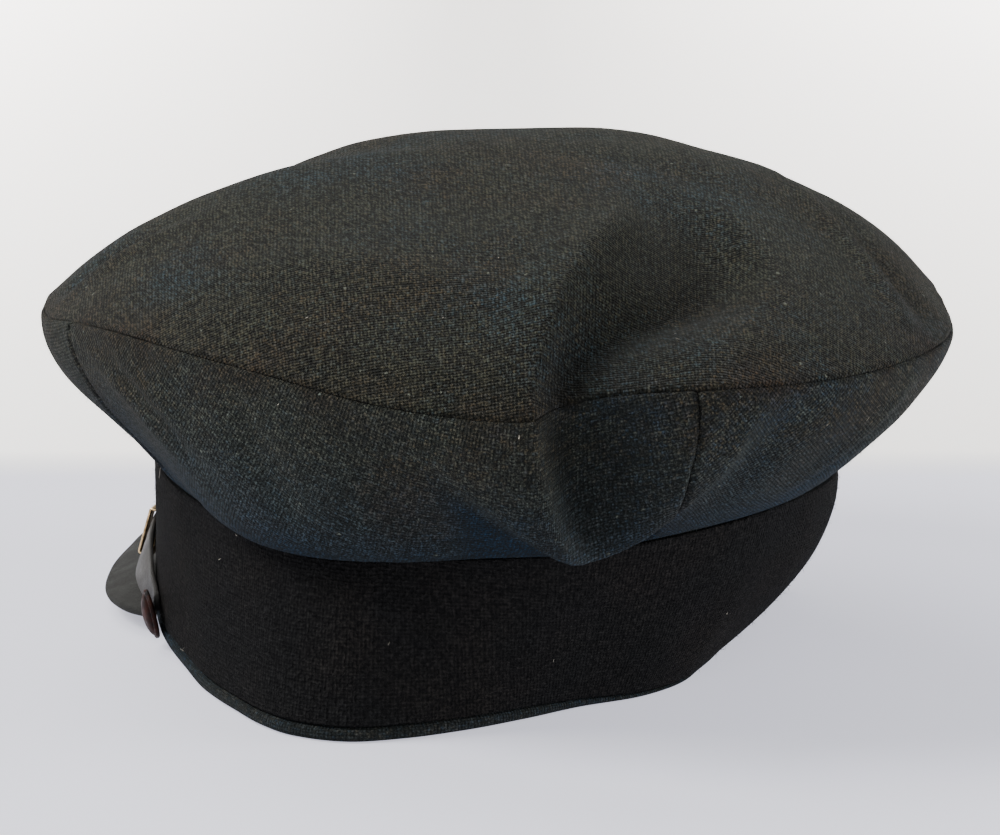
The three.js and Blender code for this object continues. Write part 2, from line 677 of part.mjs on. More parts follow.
const cloth = new THREE.MeshStandardMaterial({ color: "#3c413d", roughness: 0.95, metalness: 0 });
const blueCloth = new THREE.MeshStandardMaterial({ color: "#27323b", roughness: 0.95, metalness: 0 });
const blackWeave = new THREE.MeshStandardMaterial({ color: "#121214", roughness: 1, metalness: 0 });
const leather = new THREE.MeshStandardMaterial({ color: "#4a4b47", roughness: 0.6, metalness: 0 });
const strapFinish = new THREE.MeshStandardMaterial({ color: "#6b655c", roughness: 0.35, metalness: 0 });
const brass = new THREE.MeshStandardMaterial({ color: "#a98d5c", roughness: 0.35, metalness: 1 });
const darkButton = new THREE.MeshStandardMaterial({ color: "#2a1a14", roughness: 0.5, metalness: 0 });

function named(name, geometry, material) {
  const mesh = new THREE.Mesh(geometry, material);
  mesh.name = name;
  return mesh;
}

// Turns a mesh so that its own x, y and z lie along three directions, at a point
function seat(mesh, xAxis, yAxis, zAxis, point) {
  mesh.quaternion.setFromRotationMatrix(new THREE.Matrix4().makeBasis(xAxis, yAxis, zAxis));
  mesh.position.copy(point);
  return mesh;
}

function slideOnStrap(name, angle) {
  const frame = strapFrame(angle);
  const xAxis = frame.normal;
  const zAxis = frame.lengthwise;
  return seat(named(name, strapSlide(), brass), xAxis, zAxis.clone().cross(xAxis), zAxis, frame.centre);
}

function buttonOnBand(name, angle) {
  const level = (buttonCentreHeight - bandFoot(angle).z) / (bandRim(angle).z - bandFoot(angle).z);
  const normal = faceNormal(bandFace, angle, level);
  const overStrap = mirrored(strapRows, angle, "stand") + strapLeather + buttonClearance;
  const place = bandFace(angle, level).addScaledVector(normal, overStrap);
  const xAxis = up.clone().cross(normal).normalize();
  normal.applyAxisAngle(xAxis, radians(buttonTilt));
  return seat(named(name, sideButton(), darkButton), xAxis, normal.clone().cross(xAxis), normal, place);
}

const cap = new THREE.Group();
cap.position.set(frameShift.x, frameShift.y, 0);

const crown = new THREE.Group();
crown.add(named("crown_top", crownTop(), cloth));
crown.add(named("quarter_front_left", quarter(0, 90), blueCloth));
crown.add(named("quarter_back_left", quarter(90, 180), blueCloth));
crown.add(named("quarter_back_right", quarter(180, 270), blueCloth));
crown.add(named("quarter_front_right", quarter(270, 360), blueCloth));

const band = new THREE.Group();
band.add(named("headband", headband(), blueCloth));
band.add(named("band_cover", bandCover(), blackWeave));

const front = new THREE.Group();
front.add(named("peak", peak(), leather));
front.add(named("chin_strap", chinStrap(), strapFinish));
front.add(slideOnStrap("strap_slide_left", slideAngle));
front.add(slideOnStrap("strap_slide_right", -slideAngle));
front.add(buttonOnBand("button_left", buttonAngle));
front.add(buttonOnBand("button_right", -buttonAngle));

cap.add(crown, band, front);

export default cap;
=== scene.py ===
import json
import math
import random
import bmesh
import bpy
import numpy as np
from mathutils import Matrix, Vector, noise

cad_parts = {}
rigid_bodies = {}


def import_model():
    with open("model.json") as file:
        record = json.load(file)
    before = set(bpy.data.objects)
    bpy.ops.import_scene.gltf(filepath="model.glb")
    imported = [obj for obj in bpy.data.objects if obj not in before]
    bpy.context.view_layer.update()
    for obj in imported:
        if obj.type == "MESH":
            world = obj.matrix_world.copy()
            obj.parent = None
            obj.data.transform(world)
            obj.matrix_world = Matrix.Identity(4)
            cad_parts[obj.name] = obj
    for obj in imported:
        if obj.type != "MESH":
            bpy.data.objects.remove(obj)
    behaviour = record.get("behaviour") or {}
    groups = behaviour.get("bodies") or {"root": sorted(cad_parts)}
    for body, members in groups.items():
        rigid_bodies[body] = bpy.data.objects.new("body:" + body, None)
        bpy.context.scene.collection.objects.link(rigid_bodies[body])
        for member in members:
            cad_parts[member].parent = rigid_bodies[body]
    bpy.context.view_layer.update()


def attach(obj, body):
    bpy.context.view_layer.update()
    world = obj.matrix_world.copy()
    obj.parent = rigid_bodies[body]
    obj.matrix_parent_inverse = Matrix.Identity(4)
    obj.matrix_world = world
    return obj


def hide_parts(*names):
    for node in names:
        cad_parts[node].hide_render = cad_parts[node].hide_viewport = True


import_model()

# Peaked cap, lying on its band. All tables are in millimetres and degrees in the cap's own
# coordinates: angle 0 at the front, 90 at the wearer's left, 180 at the back.
mm = 0.001
fullTurn = 360.0
quarterTurn = 90
mapUnit = 100  # millimetres of cloth in one unit of a weave map
capShift = np.array([1.4, 12.6, 0.0])  # from the cap's own middle to the frame's
up = np.array([0.0, 0.0, 1.0])


def deselectAll():
    for thing in bpy.context.view_layer.objects:
        thing.select_set(False)


deselectAll()


# Tables with named columns
def tableOf(columns, rows):
    return dict(zip(columns.split(), np.array(rows, float).T))


sizes = {
    "bandHalfLength": 102, "bandHalfWidth": 87,
    "crownHalfLength": 131, "crownHalfWidth": 113, "crownPeakHeight": 130.5,
}

footRows = tableOf("angle out lift", [
    (0, 0, 13), (30, 0, 12), (55, 0, 7), (75, -1, 3), (93, -0.5, 1), (105, 2.6, 0),
    (117, 7, 0), (125, 11.5, 0), (131, 13.5, 0), (139, 11, 0), (146, 2.5, 0),
    (154, -8.5, 0), (164, -20.5, 0), (176, -30, 0), (191, -32, 0), (203, -33, 0),
    (215, -34.5, 0), (234, -32, 0), (253, -25.5, 0), (268, -13, 0.5), (280, -2, 1.5),
    (295, 0, 4), (315, 0, 9), (337, 0, 12),
])

rimRows = tableOf("angle out height swell", [
    (0, 0, 58, 0), (45, 0, 53.5, 0), (75, -1, 48.5, 0), (100, 0, 47.5, 0), (130, 5, 46, 0),
    (160, 0, 46.5, 1), (190, -8, 48, 2), (215, -7.5, 48.5, 4.5), (235, -2.5, 48, 7.3),
    (250, -0.3, 48, 8.5), (270, 0, 48, 4), (290, 0, 49, 0), (320, 0, 54, 0),
])

seamRows = tableOf("angle out height puff", [
    (0, 0, 99, -2.4), (15, -1, 93, -2), (30, -2.3, 86, -3), (45, -1, 84.5, -3),
    (62, 1, 87, 0), (76, 1.2, 88, 0.7), (92, 0, 92.4, 0), (108, 0, 94.6, 0),
    (130, 0, 92.7, 0), (148, 0, 87.5, 0), (162, 0, 86, 0), (172, 0, 90, 0),
    (182, 0, 91.5, 0), (197, 0, 90, 0), (214, 0, 89, 0), (230, 0.5, 88, 0),
    (245, 0.5, 88, 3), (262, 3, 90, 3.7), (280, 2.5, 95, 2.5), (300, 1.5, 97, 2.5),
    (330, 0, 98.5, -1),
])

bellyRows = tableOf("angle lowOut lowUp highOut highDown", [
    (0, 10, 10, 1, 13), (62, 9, 10.5, 2.5, 19), (95, 3.5, 6.5, 2.5, 16),
    (125, 14.5, -8.5, 2, 16), (145, 14, -5, 2, 16), (158, 12, -1, 2, 15),
    (172, 12, 0, 2, 15), (187, 11, 3.5, 2, 15), (215, 9, 2.5, 1, 13.5), (242, 5, 12, 1, 11),
    (300, 10, 10, 1, 13),
])

riseRows = tableOf("reach share", [
    (0, 1), (0.25, 0.935), (0.5, 0.79), (0.75, 0.49), (0.9, 0.24), (1, 0),
])

# Folds across the seam: climb 0 at the band, 1 at the seam, 2 in the middle of the top.
# Power 1 starts the side before the fold's line with a crisp edge, power 2 softly
deepFold = tableOf("climb angle depth before after power", [
    (0.1, 171, 0, 3, 6, 2), (0.3, 170.3, 4.5, 3.2, 8, 1.3), (0.55, 168.6, 11.5, 3.8, 11, 1),
    (0.82, 167.3, 12.5, 4.4, 14, 1.1), (1, 167.6, 12, 4.9, 17, 1),
    (1.08, 170.3, 13, 7.3, 18, 1), (1.15, 176, 13, 11.2, 19, 1),
    (1.23, 183, 13, 16, 20, 1.05), (1.32, 189, 11.5, 18.5, 21, 1.3),
    (1.42, 193, 8.5, 17, 22, 1.6), (1.52, 199, 4.5, 14, 22, 1.8),
    (1.62, 206, 1.5, 12, 22, 2), (1.72, 214, 0, 12, 22, 2),
])
foldRidge = tableOf("climb angle depth before after power", [
    (0, 169, 0, 6, 3, 2), (0.25, 168, -1.5, 8, 2.6, 2), (0.55, 165.2, -2.4, 10, 2.4, 2),
    (0.85, 163, -2, 10, 2.6, 2), (1, 162.8, -1.8, 10, 3, 2),
    (1.15, 164.8, -2.6, 10, 3.4, 2), (1.3, 169.5, -2.6, 12, 5, 2),
    (1.42, 176, -1.8, 14, 8, 2), (1.55, 188, 0, 16, 12, 2),
])

# Pouch of slack cloth over the band: its lower edge, and how far it stands out
pouchRows = tableOf("angle climb out", [
    (149, 0.8, 0), (154, 0.66, 2), (159, 0.49, 4.2), (162.5, 0.36, 5.6), (166, 0.24, 6.8),
    (169.5, 0.17, 7.2), (173, 0.19, 6.6), (177, 0.27, 5), (181, 0.39, 3), (187, 0.54, 0),
])

# Soft dents (depth above 0) and ridges (below 0)
topDents = [dict(zip(("x", "y", "turn", "length", "width", "depth"), row)) for row in [
    (-30, 65, 75, 38, 9, 3), (-19, 66, 74, 28, 7, -1), (8, 36, 85, 30, 32, 2.6),
    (-74, 58, 90, 40, 4.5, -3), (-83, 60, 92, 42, 6, 3), (99, -16, 147, 16, 5, -1.8),
    (95, -25, 147, 18, 5, 2), (33, 38, -45, 36, 28, 3.5), (52, 68, -45, 40, 8, -1.3),
]]
sideDents = [dict(zip(("angle", "climb", "turn", "length", "width", "depth"), row)) for row in [
    (131.3, 0.64, -42, 10, 5, 2.2), (109, 0.65, -21, 24, 3.4, -1.6),
    (111, 0.7, -21, 24, 3, 1.3), (112.5, 0.76, -21, 20, 3, -1.2),
    (151, 0.42, -42, 20, 7, 2.2), (184.5, 0.66, 62, 13, 3.6, -1.8),
    (190, 0.66, 58, 14, 6, 2.2), (205.5, 0.6, 36, 15, 3.2, -1.6),
    (208, 0.53, 36, 15, 3, 1.5),
]]
form = {
    "perDegree": 2.05, "perClimb": 46,  # quarter cloth laid flat, millimetres
    "quarterFade": 0.12, "topFade": 0.08,  # dents die out this near to the seams
    "tipDegrees": 84, "tipFrom": 0.95, "tipTo": 1.4,  # where a fold turns from inward to downward
    "puffScale": 6.75,
    "lipFrom": -2, "lipTo": 4.5, "pouchReach": 30, "pouchSag": 0.5,
    "pouchShadeOut": 3.5, "pouchShadeFrom": -4, "pouchShadeTo": 0.5,
    "creaseShadeDepth": 13,
}


# Smooth curve through the rows of a table
def hermite(x, y, i, at, low, high):
    span = x[i + 1] - x[i]
    t = np.clip((at - x[i]) / span, 0, 1)
    slopeLow = (y[i + 1] - y[low]) / (x[i + 1] - x[low]) * span
    slopeHigh = (y[high] - y[i]) / (x[high] - x[i]) * span
    t2 = t * t
    t3 = t2 * t
    return ((2 * t3 - 3 * t2 + 1) * y[i] + (t3 - 2 * t2 + t) * slopeLow
            + (3 * t2 - 2 * t3) * y[i + 1] + (t3 - t2) * slopeHigh)


def around(table, angle, name):
    x = table["angle"]
    x = np.concatenate([x[-2:] - fullTurn, x, x[:2] + fullTurn])
    y = table[name]
    y = np.concatenate([y[-2:], y, y[:2]])
    turned = np.mod(angle, fullTurn)
    i = np.clip(np.searchsorted(x, turned, side="right") - 1, 1, len(x) - 3)
    return hermite(x, y, i, turned, i - 1, i + 2)


def along(table, key, at, name):
    x = table[key]
    y = table[name]
    last = len(x) - 1
    i = np.clip(np.searchsorted(x, at, side="right") - 1, 0, last - 1)
    return hermite(x, y, i, at, np.clip(i - 1, 0, last), np.clip(i + 2, 0, last))


def smooth(value, low, high):
    t = np.clip((value - low) / (high - low), 0, 1)
    return t * t * (3 - 2 * t)


def hump(part):
    return 4 * part * (1 - part)


# The cap's form
def outward(angle):
    turn = np.radians(angle)
    return np.stack([np.sin(turn), -np.cos(turn), 0 * turn], -1)


def ovalRadius(angle, halfWidth, halfLength):
    turn = np.radians(angle)
    return 1 / np.hypot(np.sin(turn) / halfWidth, np.cos(turn) / halfLength)


def placed(angle, radius, height):
    return outward(angle) * radius[..., None] + up * height[..., None]


def bandRadius(angle):
    return ovalRadius(angle, sizes["bandHalfWidth"], sizes["bandHalfLength"])


def bandFoot(angle):
    lift = np.maximum(0, around(footRows, angle, "lift"))
    return placed(angle, bandRadius(angle) + around(footRows, angle, "out"), lift)


def bandRim(angle):
    out = bandRadius(angle) + around(rimRows, angle, "out")
    return placed(angle, out, around(rimRows, angle, "height"))


def crownSeam(angle):
    radius = ovalRadius(angle, sizes["crownHalfWidth"], sizes["crownHalfLength"])
    out = radius + around(seamRows, angle, "out")
    return placed(angle, out, around(seamRows, angle, "height"))


def bandFace(angle, level):
    low = bandFoot(angle)
    high = bandRim(angle)
    swell = around(rimRows, angle, "swell") * hump(level)
    return low + (high - low) * level[..., None] + outward(angle) * swell[..., None]


def turnFrom(middle, angle):
    return np.mod(angle - middle + 180, fullTurn) - 180


def foldDepth(fold, angle, climb):
    middle, depth, before, after, power = (
        along(fold, "climb", climb, name)
        for name in ("angle", "depth", "before", "after", "power"))
    offset = turnFrom(middle, angle)
    part = np.clip(offset / np.where(offset < 0, before, after), -1, 1)
    reached = (climb >= fold["climb"][0]) & (climb <= fold["climb"][-1])
    power = np.where(offset < 0, power, 2)
    return np.where(reached, depth * (1 - part * part) ** power, 0)


def abovePouch(angle, climb):
    return (climb - along(pouchRows, "angle", angle, "climb")) * form["perClimb"]


def pouchBulge(angle, climb):
    above = abovePouch(angle, climb)
    rise = smooth(above, form["lipFrom"], form["lipTo"])
    fade = 1 - smooth(above, form["lipTo"], form["pouchReach"])
    return along(pouchRows, "angle", angle, "out") * rise * fade


# Cloth behind the pouch's lower edge: painted shade darkens it, and it turns bluer as less faded cloth
def shadeAndBlueUnderPouch(angle, climb):
    strength = smooth(along(pouchRows, "angle", angle, "out"), 0, form["pouchShadeOut"])
    hidden = 1 - smooth(abovePouch(angle, climb), form["pouchShadeFrom"], form["pouchShadeTo"])
    inside = (angle > pouchRows["angle"][0]) & (angle < pouchRows["angle"][-1])
    return np.where(inside, strength * hidden, 0)


# Painted shade at the bottom of the deep fold
def creaseShade(angle, climb):
    return np.clip(foldDepth(deepFold, angle, climb) / form["creaseShadeDepth"], 0, 1)


def foldShift(angle, climb):
    depth = foldDepth(deepFold, angle, climb) + foldDepth(foldRidge, angle, climb)
    tip = math.radians(form["tipDegrees"]) * smooth(climb, form["tipFrom"], form["tipTo"])
    sideways = outward(angle) * (-depth * np.cos(tip))[..., None]
    return sideways + up * (-depth * np.sin(tip))[..., None]


def dentDepth(dent, offsetX, offsetY):
    turn = math.radians(dent["turn"])
    lengthwise = (offsetX * math.cos(turn) + offsetY * math.sin(turn)) / dent["length"]
    crosswise = (offsetY * math.cos(turn) - offsetX * math.sin(turn)) / dent["width"]
    return dent["depth"] * np.exp(-lengthwise ** 2 - crosswise ** 2)


def quarterFace(angle, climb):
    out = outward(angle)
    low = bandRim(angle)
    high = crownSeam(angle)
    lowOut, lowUp, highOut, highDown = (
        around(bellyRows, angle, name)[..., None]
        for name in ("lowOut", "lowUp", "highOut", "highDown"))
    lowHandle = low + out * lowOut + up * lowUp
    highHandle = high + out * highOut - up * highDown
    t = climb[..., None]
    point = ((1 - t) ** 3 * low + 3 * (1 - t) ** 2 * t * lowHandle
             + 3 * (1 - t) * t * t * highHandle + t ** 3 * high)
    depth = 0 * climb
    for dent in sideDents:
        offsetX = turnFrom(dent["angle"], angle) * form["perDegree"]
        depth = depth + dentDepth(dent, offsetX, (climb - dent["climb"]) * form["perClimb"])
    nearTop = smooth(1 - climb, 0, form["quarterFade"])
    depth = depth * smooth(climb, 0, form["quarterFade"]) * nearTop
    bulge = pouchBulge(angle, climb) * nearTop
    point = point + out * (bulge - depth)[..., None] - up * (bulge * form["pouchSag"])[..., None]
    return point + foldShift(angle, climb)


def topFace(angle, reach):
    seam = crownSeam(angle)
    share = along(riseRows, "reach", reach, "share")
    puff = around(seamRows, angle, "puff") * form["puffScale"] * reach * reach * (1 - reach)
    point = seam * reach[..., None]
    point[..., 2] = seam[..., 2] * (1 - share) + sizes["crownPeakHeight"] * share + puff
    depth = 0 * reach
    for dent in topDents:
        depth = depth + dentDepth(dent, point[..., 0] - dent["x"], point[..., 1] - dent["y"])
    depth = depth * smooth(1 - reach, 0, form["topFade"])
    return point + foldShift(angle, 2 - reach) - up * depth[..., None]


def unit(vectors):
    return vectors / np.maximum(np.linalg.norm(vectors, axis=-1, keepdims=True), 1e-12)


# A normal is worked out from points this far to each side, at least edgeInset from an edge
probe = {"angle": 0.3, "level": 0.01}
edgeInset = 0.01


def faceNormal(face, angle, level):
    alongAngle = face(angle + probe["angle"], level) - face(angle - probe["angle"], level)
    alongLevel = face(angle, level + probe["level"]) - face(angle, level - probe["level"])
    return unit(np.cross(alongAngle, alongLevel))


# Gentle unevenness of worn cloth, in millimetres
def ripple(points, wave, seed):
    shift = Vector((seed * 17.3, seed * 5.1, seed * 9.7))
    flat = points.reshape(-1, 3) / wave
    values = [noise.noise(Vector(p) + shift) for p in flat]
    return np.array(values).reshape(points.shape[:-1])


# A grid is added, then its vertices are drawn over the form. On cloth, the attribute of wear and painted
# shade holds nearness to a seam, climb or level, the mask for painted shade and blue under the pouch, and
# painted shade in the fold
def sheetFromGrid(name, points, weave, wearAndShade, closed):
    rows, columns = points.shape[:2]
    deselectAll()
    bpy.ops.mesh.primitive_grid_add(x_subdivisions=columns - 1, y_subdivisions=rows - 1, size=1)
    sheet = bpy.context.object
    sheet.name = name
    mesh = sheet.data
    mesh.name = name
    flat = (points + capShift).reshape(-1, 3) * mm
    mesh.vertices.foreach_set("co", flat.ravel())
    corners = np.zeros(len(mesh.loops), int)
    mesh.loops.foreach_get("vertex_index", corners)
    mesh.uv_layers[0].name = "weave"
    mesh.uv_layers["weave"].data.foreach_set("uv", weave.reshape(-1, 2)[corners].ravel())
    worn = mesh.attributes.new("wearAndShade", "FLOAT_COLOR", "POINT")
    worn.data.foreach_set("color", wearAndShade.ravel())
    mesh.update()
    bpy.ops.object.mode_set(mode="EDIT")
    bpy.ops.mesh.select_all(action="SELECT")
    if closed:
        bpy.ops.mesh.remove_doubles(threshold=1e-6)
    bpy.ops.mesh.normals_make_consistent(inside=False)
    bpy.ops.object.mode_set(mode="OBJECT")
    return sheet


capMiddle = Vector(capShift * mm) + Vector((0, 0, 0.05))  # inside the crown


def faceOutward(sheet):
    mesh = sheet.data
    outside = sum(1 if p.normal.dot(p.center - capMiddle) > 0 else -1 for p in mesh.polygons)
    if outside < 0:
        mesh.flip_normals()


def applied(piece, kind, **settings):
    deselectAll()
    piece.select_set(True)
    bpy.context.view_layer.objects.active = piece
    modifier = piece.modifiers.new(kind.title(), kind)
    for key, value in settings.items():
        setattr(modifier, key, value)
    bpy.ops.object.modifier_apply(modifier=modifier.name)


def smoothed(piece):
    for polygon in piece.data.polygons:
        polygon.use_smooth = True


def thickened(sheet, thickness):
    faceOutward(sheet)
    applied(sheet, "SOLIDIFY", thickness=thickness * mm, offset=-1, use_even_offset=False)
    smoothed(sheet)


def kept(piece, slot, *nodes):
    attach(piece, "root")
    if nodes:
        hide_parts(*nodes)
    return piece


# Distances from a seam, in millimetres: close together at the seam, wider away from it
def spreadFrom(start, stop, first, growth, widest):
    places = [start]
    step = first
    while places[-1] + step < stop:
        places.append(places[-1] + step)
        step = min(step * growth, widest)
    places[-1] = stop
    return np.array(places)


def lengthsAlong(points, axis):
    steps = np.linalg.norm(np.diff(points, axis=axis), axis=-1)
    return np.concatenate([np.zeros_like(np.take(steps, [0], axis)), np.cumsum(steps, axis)], axis)


crownCloth = {
    "thickness": 0.8,
    "columns": 720,
    "grooveDepth": 0.75, "grooveWidth": 0.6,  # where the two cloths roll into the seam
    "turnIn": 2.2, "seamGap": 0.06, "gapReach": 2.0, "seamLevel": 0.985,
    "puckerPitch": 3.1, "puckerDepth": 0.10, "puckerReach": 3.0,
    "puckerEven": 0.35, "puckerWave": 19.0, "puckerShortWave": 7.7,
    "waveLength": 11, "waveDepth": 0.42, "waveReach": 7, "endWaveReach": 5,
    "broadWave": 42, "broadDepth": 1.0, "fineWave": 13, "fineDepth": 0.22,
    "grainTurn": 20, "wearReach": 9,
    "firstStep": 0.35, "growth": 1.22, "widestStep": 2.3,  # from the seam inwards
    "evenTo": 14,  # no unevenness at the seam, all of it this far in
    "toMiddle": 100, "levelMiddle": 0.03,
}


# Bisector of the two walls at the crown seam, pointing into the cap
def seamInward(angle, cloth):
    nearly = np.full_like(angle, cloth["seamLevel"])
    topNormal = -faceNormal(topFace, angle, nearly)
    sideNormal = faceNormal(quarterFace, angle, nearly)
    return -unit(topNormal + sideNormal), unit(topNormal - sideNormal)


# Weave map of places on the flat cloth, in millimetres, turned on the piece
def turnedWeave(flat, turn):
    turn = math.radians(turn)
    spin = np.array([[math.cos(turn), -math.sin(turn)], [math.sin(turn), math.cos(turn)]])
    return flat @ spin.T / mapUnit


# How far cloth near a seam sinks into it; run is the length along the seam
def seamSink(distance, run, cloth):
    groove = cloth["grooveDepth"] * np.exp(-(distance / cloth["grooveWidth"]) ** 2)
    pucker = cloth["puckerDepth"] * np.sin(2 * math.pi * run / cloth["puckerPitch"])
    even = cloth["puckerEven"]
    slow = (1 - even) * np.sin(run / cloth["puckerWave"]) * np.sin(run / cloth["puckerShortWave"] + 1)
    pucker = pucker * (even + slow) * np.exp(-distance / cloth["puckerReach"])
    return groove + pucker


def makeCrownTop(cloth):
    angle = np.linspace(0, fullTurn, cloth["columns"] + 1)
    inwards = spreadFrom(0, cloth["toMiddle"], cloth["firstStep"], cloth["growth"], cloth["widestStep"])
    angleGrid, reachGrid = np.meshgrid(angle, 1 - inwards / cloth["toMiddle"], indexing="xy")
    points = topFace(angleGrid, reachGrid)
    normal = -faceNormal(topFace, angleGrid, np.clip(reachGrid, 2 * edgeInset, 1 - edgeInset))
    normal[reachGrid < cloth["levelMiddle"]] = up
    fromSeam = lengthsAlong(points, 0)
    run = np.broadcast_to(lengthsAlong(crownSeam(angle)[None], 1)[0], angleGrid.shape)
    inward, side = seamInward(angle, cloth)
    sink = seamSink(fromSeam, run, cloth)
    wave = ripple(points, cloth["waveLength"], 1) * cloth["waveDepth"]
    wave = wave * np.exp(-fromSeam / cloth["waveReach"])
    broad = ripple(points, cloth["broadWave"], 2) * cloth["broadDepth"]
    fine = ripple(points, cloth["fineWave"], 3) * cloth["fineDepth"]
    even = smooth(fromSeam, 0, cloth["evenTo"])
    points = points + normal * ((broad + fine) * even + wave)[..., None]
    points = points + inward[None] * sink[..., None]
    points = points + side[None] * (cloth["seamGap"] * np.exp(-fromSeam / cloth["gapReach"]))[..., None]
    points[-1] = points[-1].mean(0)
    turned = points[0] + inward * cloth["turnIn"]
    points = np.concatenate([turned[None], points])
    toMiddle = fromSeam[-1:] - fromSeam
    toMiddle = np.concatenate([toMiddle[:1] + cloth["turnIn"], toMiddle])
    angles = np.concatenate([angleGrid[:1], angleGrid])
    weave = turnedWeave(outward(angles)[..., :2] * toMiddle[..., None], cloth["grainTurn"])
    near = np.concatenate([np.zeros((1, angleGrid.shape[1])), fromSeam])
    # Painted shade in the deep fold
    crease = creaseShade(angleGrid, 2 - reachGrid)
    crease = np.concatenate([crease[:1], crease])
    seamShare = np.exp(-near / cloth["wearReach"])
    wearAndShade = np.stack([seamShare, np.ones_like(near), np.zeros_like(near), crease], -1)
    sheet = sheetFromGrid("crownTopCloth", points, weave, wearAndShade, True)
    thickened(sheet, cloth["thickness"])
    return kept(sheet, "crown_cloth", "crown_top")


crownTop = makeCrownTop(crownCloth)
print("top panel", len(crownTop.data.polygons), "faces")


quarterCloth = dict(crownCloth)
quarterCloth.update({
    "bandGap": 0.3, "lowestIn": 0.2, "turnUnder": 3.0, "grainTurn": 53, "endWear": 1.6,
    "evenTo": 12, "endEvenTo": 8, "climbEvenTo": 0.25, "waveFrom": 0.2, "grooveFrom": 0.15,
    "patternRadius": 175,  # the flat piece is cut as part of a ring, so its weave turns along it
    "columnStep": 0.55, "rowStep": 0.9, "columnFirst": 0.3, "columnGrowth": 1.25,
    "verticalGrooveDepth": 0.9, "verticalGrooveWidth": 0.6,
    "lapRidge": 0.35, "lapAt": 2.0, "lapWidth": 0.9,  # cloth folded back beside the vertical seam
})


# Angles from one vertical seam to the next, close together beside both of them
def quarterAngles(start, stop, cloth):
    perMm = 1 / form["perDegree"]
    first = cloth["columnFirst"] * perMm
    half = spreadFrom(0, (stop - start) / 2, first, cloth["columnGrowth"], cloth["columnStep"])
    return np.concatenate([start + half, (stop - half[:-1])[::-1]])


def makeQuarter(name, node, start, stop, seed, cloth):
    halfGap = cloth["seamGap"] / form["perDegree"]
    angle = quarterAngles(start + halfGap, stop - halfGap, cloth)
    down = spreadFrom(0, form["perClimb"], cloth["firstStep"], cloth["growth"], cloth["rowStep"])
    angleGrid, climbGrid = np.meshgrid(angle, 1 - down / form["perClimb"], indexing="xy")
    points = quarterFace(angleGrid, climbGrid)
    normal = faceNormal(quarterFace, angleGrid, np.clip(climbGrid, edgeInset, 1 - edgeInset))
    fromSeam = lengthsAlong(points, 0)
    fromStart = lengthsAlong(points, 1)
    fromStop = fromStart[:, -1:] - fromStart
    fromEnd = np.minimum(fromStart, fromStop)
    inward, side = seamInward(angle, cloth)
    run = np.broadcast_to(lengthsAlong(crownSeam(angle)[None], 1)[0], angleGrid.shape)
    sink = seamSink(fromSeam, run, cloth)
    endSink = cloth["verticalGrooveDepth"] * np.exp(-(fromEnd / cloth["verticalGrooveWidth"]) ** 2)
    fromLap = (fromStop - cloth["lapAt"]) / cloth["lapWidth"]
    endSink = endSink - cloth["lapRidge"] * np.exp(-fromLap ** 2)
    endSink = endSink * smooth(climbGrid, 0, cloth["grooveFrom"])
    wave = ripple(points, cloth["waveLength"], seed) * cloth["waveDepth"]
    nearSeam = np.exp(-fromSeam / cloth["waveReach"])
    wave = wave * np.maximum(nearSeam, np.exp(-fromEnd / cloth["endWaveReach"]))
    broad = ripple(points, cloth["broadWave"], seed + 1) * cloth["broadDepth"]
    fine = ripple(points, cloth["fineWave"], seed + 2) * cloth["fineDepth"]
    even = smooth(fromSeam, 0, cloth["evenTo"]) * smooth(fromEnd, 0, cloth["endEvenTo"])
    even = even * smooth(climbGrid, 0, cloth["climbEvenTo"])
    rise = (broad + fine) * even + wave * smooth(climbGrid, 0, cloth["waveFrom"]) - endSink
    points = points + normal * rise[..., None]
    points = points + inward[None] * sink[..., None]
    points = points - side[None] * (cloth["seamGap"] * np.exp(-fromSeam / cloth["gapReach"]))[..., None]
    lowest = points[-1] + up * cloth["bandGap"] - outward(angle) * cloth["lowestIn"]
    points[-1] = lowest
    under = lowest - outward(angle) * cloth["turnUnder"]
    topEdge = points[0] + inward * cloth["turnIn"]
    points = np.concatenate([topEdge[None], points, under[None]])
    normal = np.pad(normal, ((1, 1), (0, 0), (0, 0)), mode="edge")
    firstEnd = points[:, :1] - normal[:, :1] * cloth["turnIn"]
    lastEnd = points[:, -1:] - normal[:, -1:] * cloth["turnIn"]
    points = np.concatenate([firstEnd, points, lastEnd], 1)
    deep = np.concatenate([fromSeam[:1] - cloth["turnIn"], fromSeam, fromSeam[-1:] + cloth["turnUnder"]])
    deep = np.concatenate([deep[:, :1], deep, deep[:, -1:]], 1)
    long = fromStart[0]
    long = np.concatenate([[long[0] - cloth["turnIn"]], long, [long[-1] + cloth["turnIn"]]])
    bend = long / cloth["patternRadius"]
    radius = (cloth["patternRadius"] - deep)[..., None]
    weave = turnedWeave(radius * np.stack([np.sin(bend), np.cos(bend)], -1), cloth["grainTurn"])
    near = np.minimum(fromSeam, fromEnd * cloth["endWear"])
    shares = [np.exp(-near / cloth["wearReach"]), climbGrid,
              shadeAndBlueUnderPouch(angleGrid, climbGrid), creaseShade(angleGrid, climbGrid)]
    wearAndShade = np.stack([np.pad(share, 1, mode="edge") for share in shares], -1)
    sheet = sheetFromGrid(name, points, weave, wearAndShade, False)
    thickened(sheet, cloth["thickness"])
    return kept(sheet, "quarter_cloth", node)


quarterPlan = [("FrontLeft", "front_left"), ("BackLeft", "back_left"),
               ("BackRight", "back_right"), ("FrontRight", "front_right")]
quarters = []
for index, (side, nodeSide) in enumerate(quarterPlan):
    start = quarterTurn * index
    piece = makeQuarter("quarterCloth" + side, "quarter_" + nodeSide,
                        start, start + quarterTurn, 10 + 3 * index, quarterCloth)
    quarters.append(piece)
    print(piece.name, len(piece.data.polygons), "faces")


# The cover hides more of the hem at the right and at the back
hemTaper = {
    "from": 158, "full": 198, "until": 290, "end": 330, "drop": 0.055, "cover": 0.084, "fadeTo": 0.4,
}


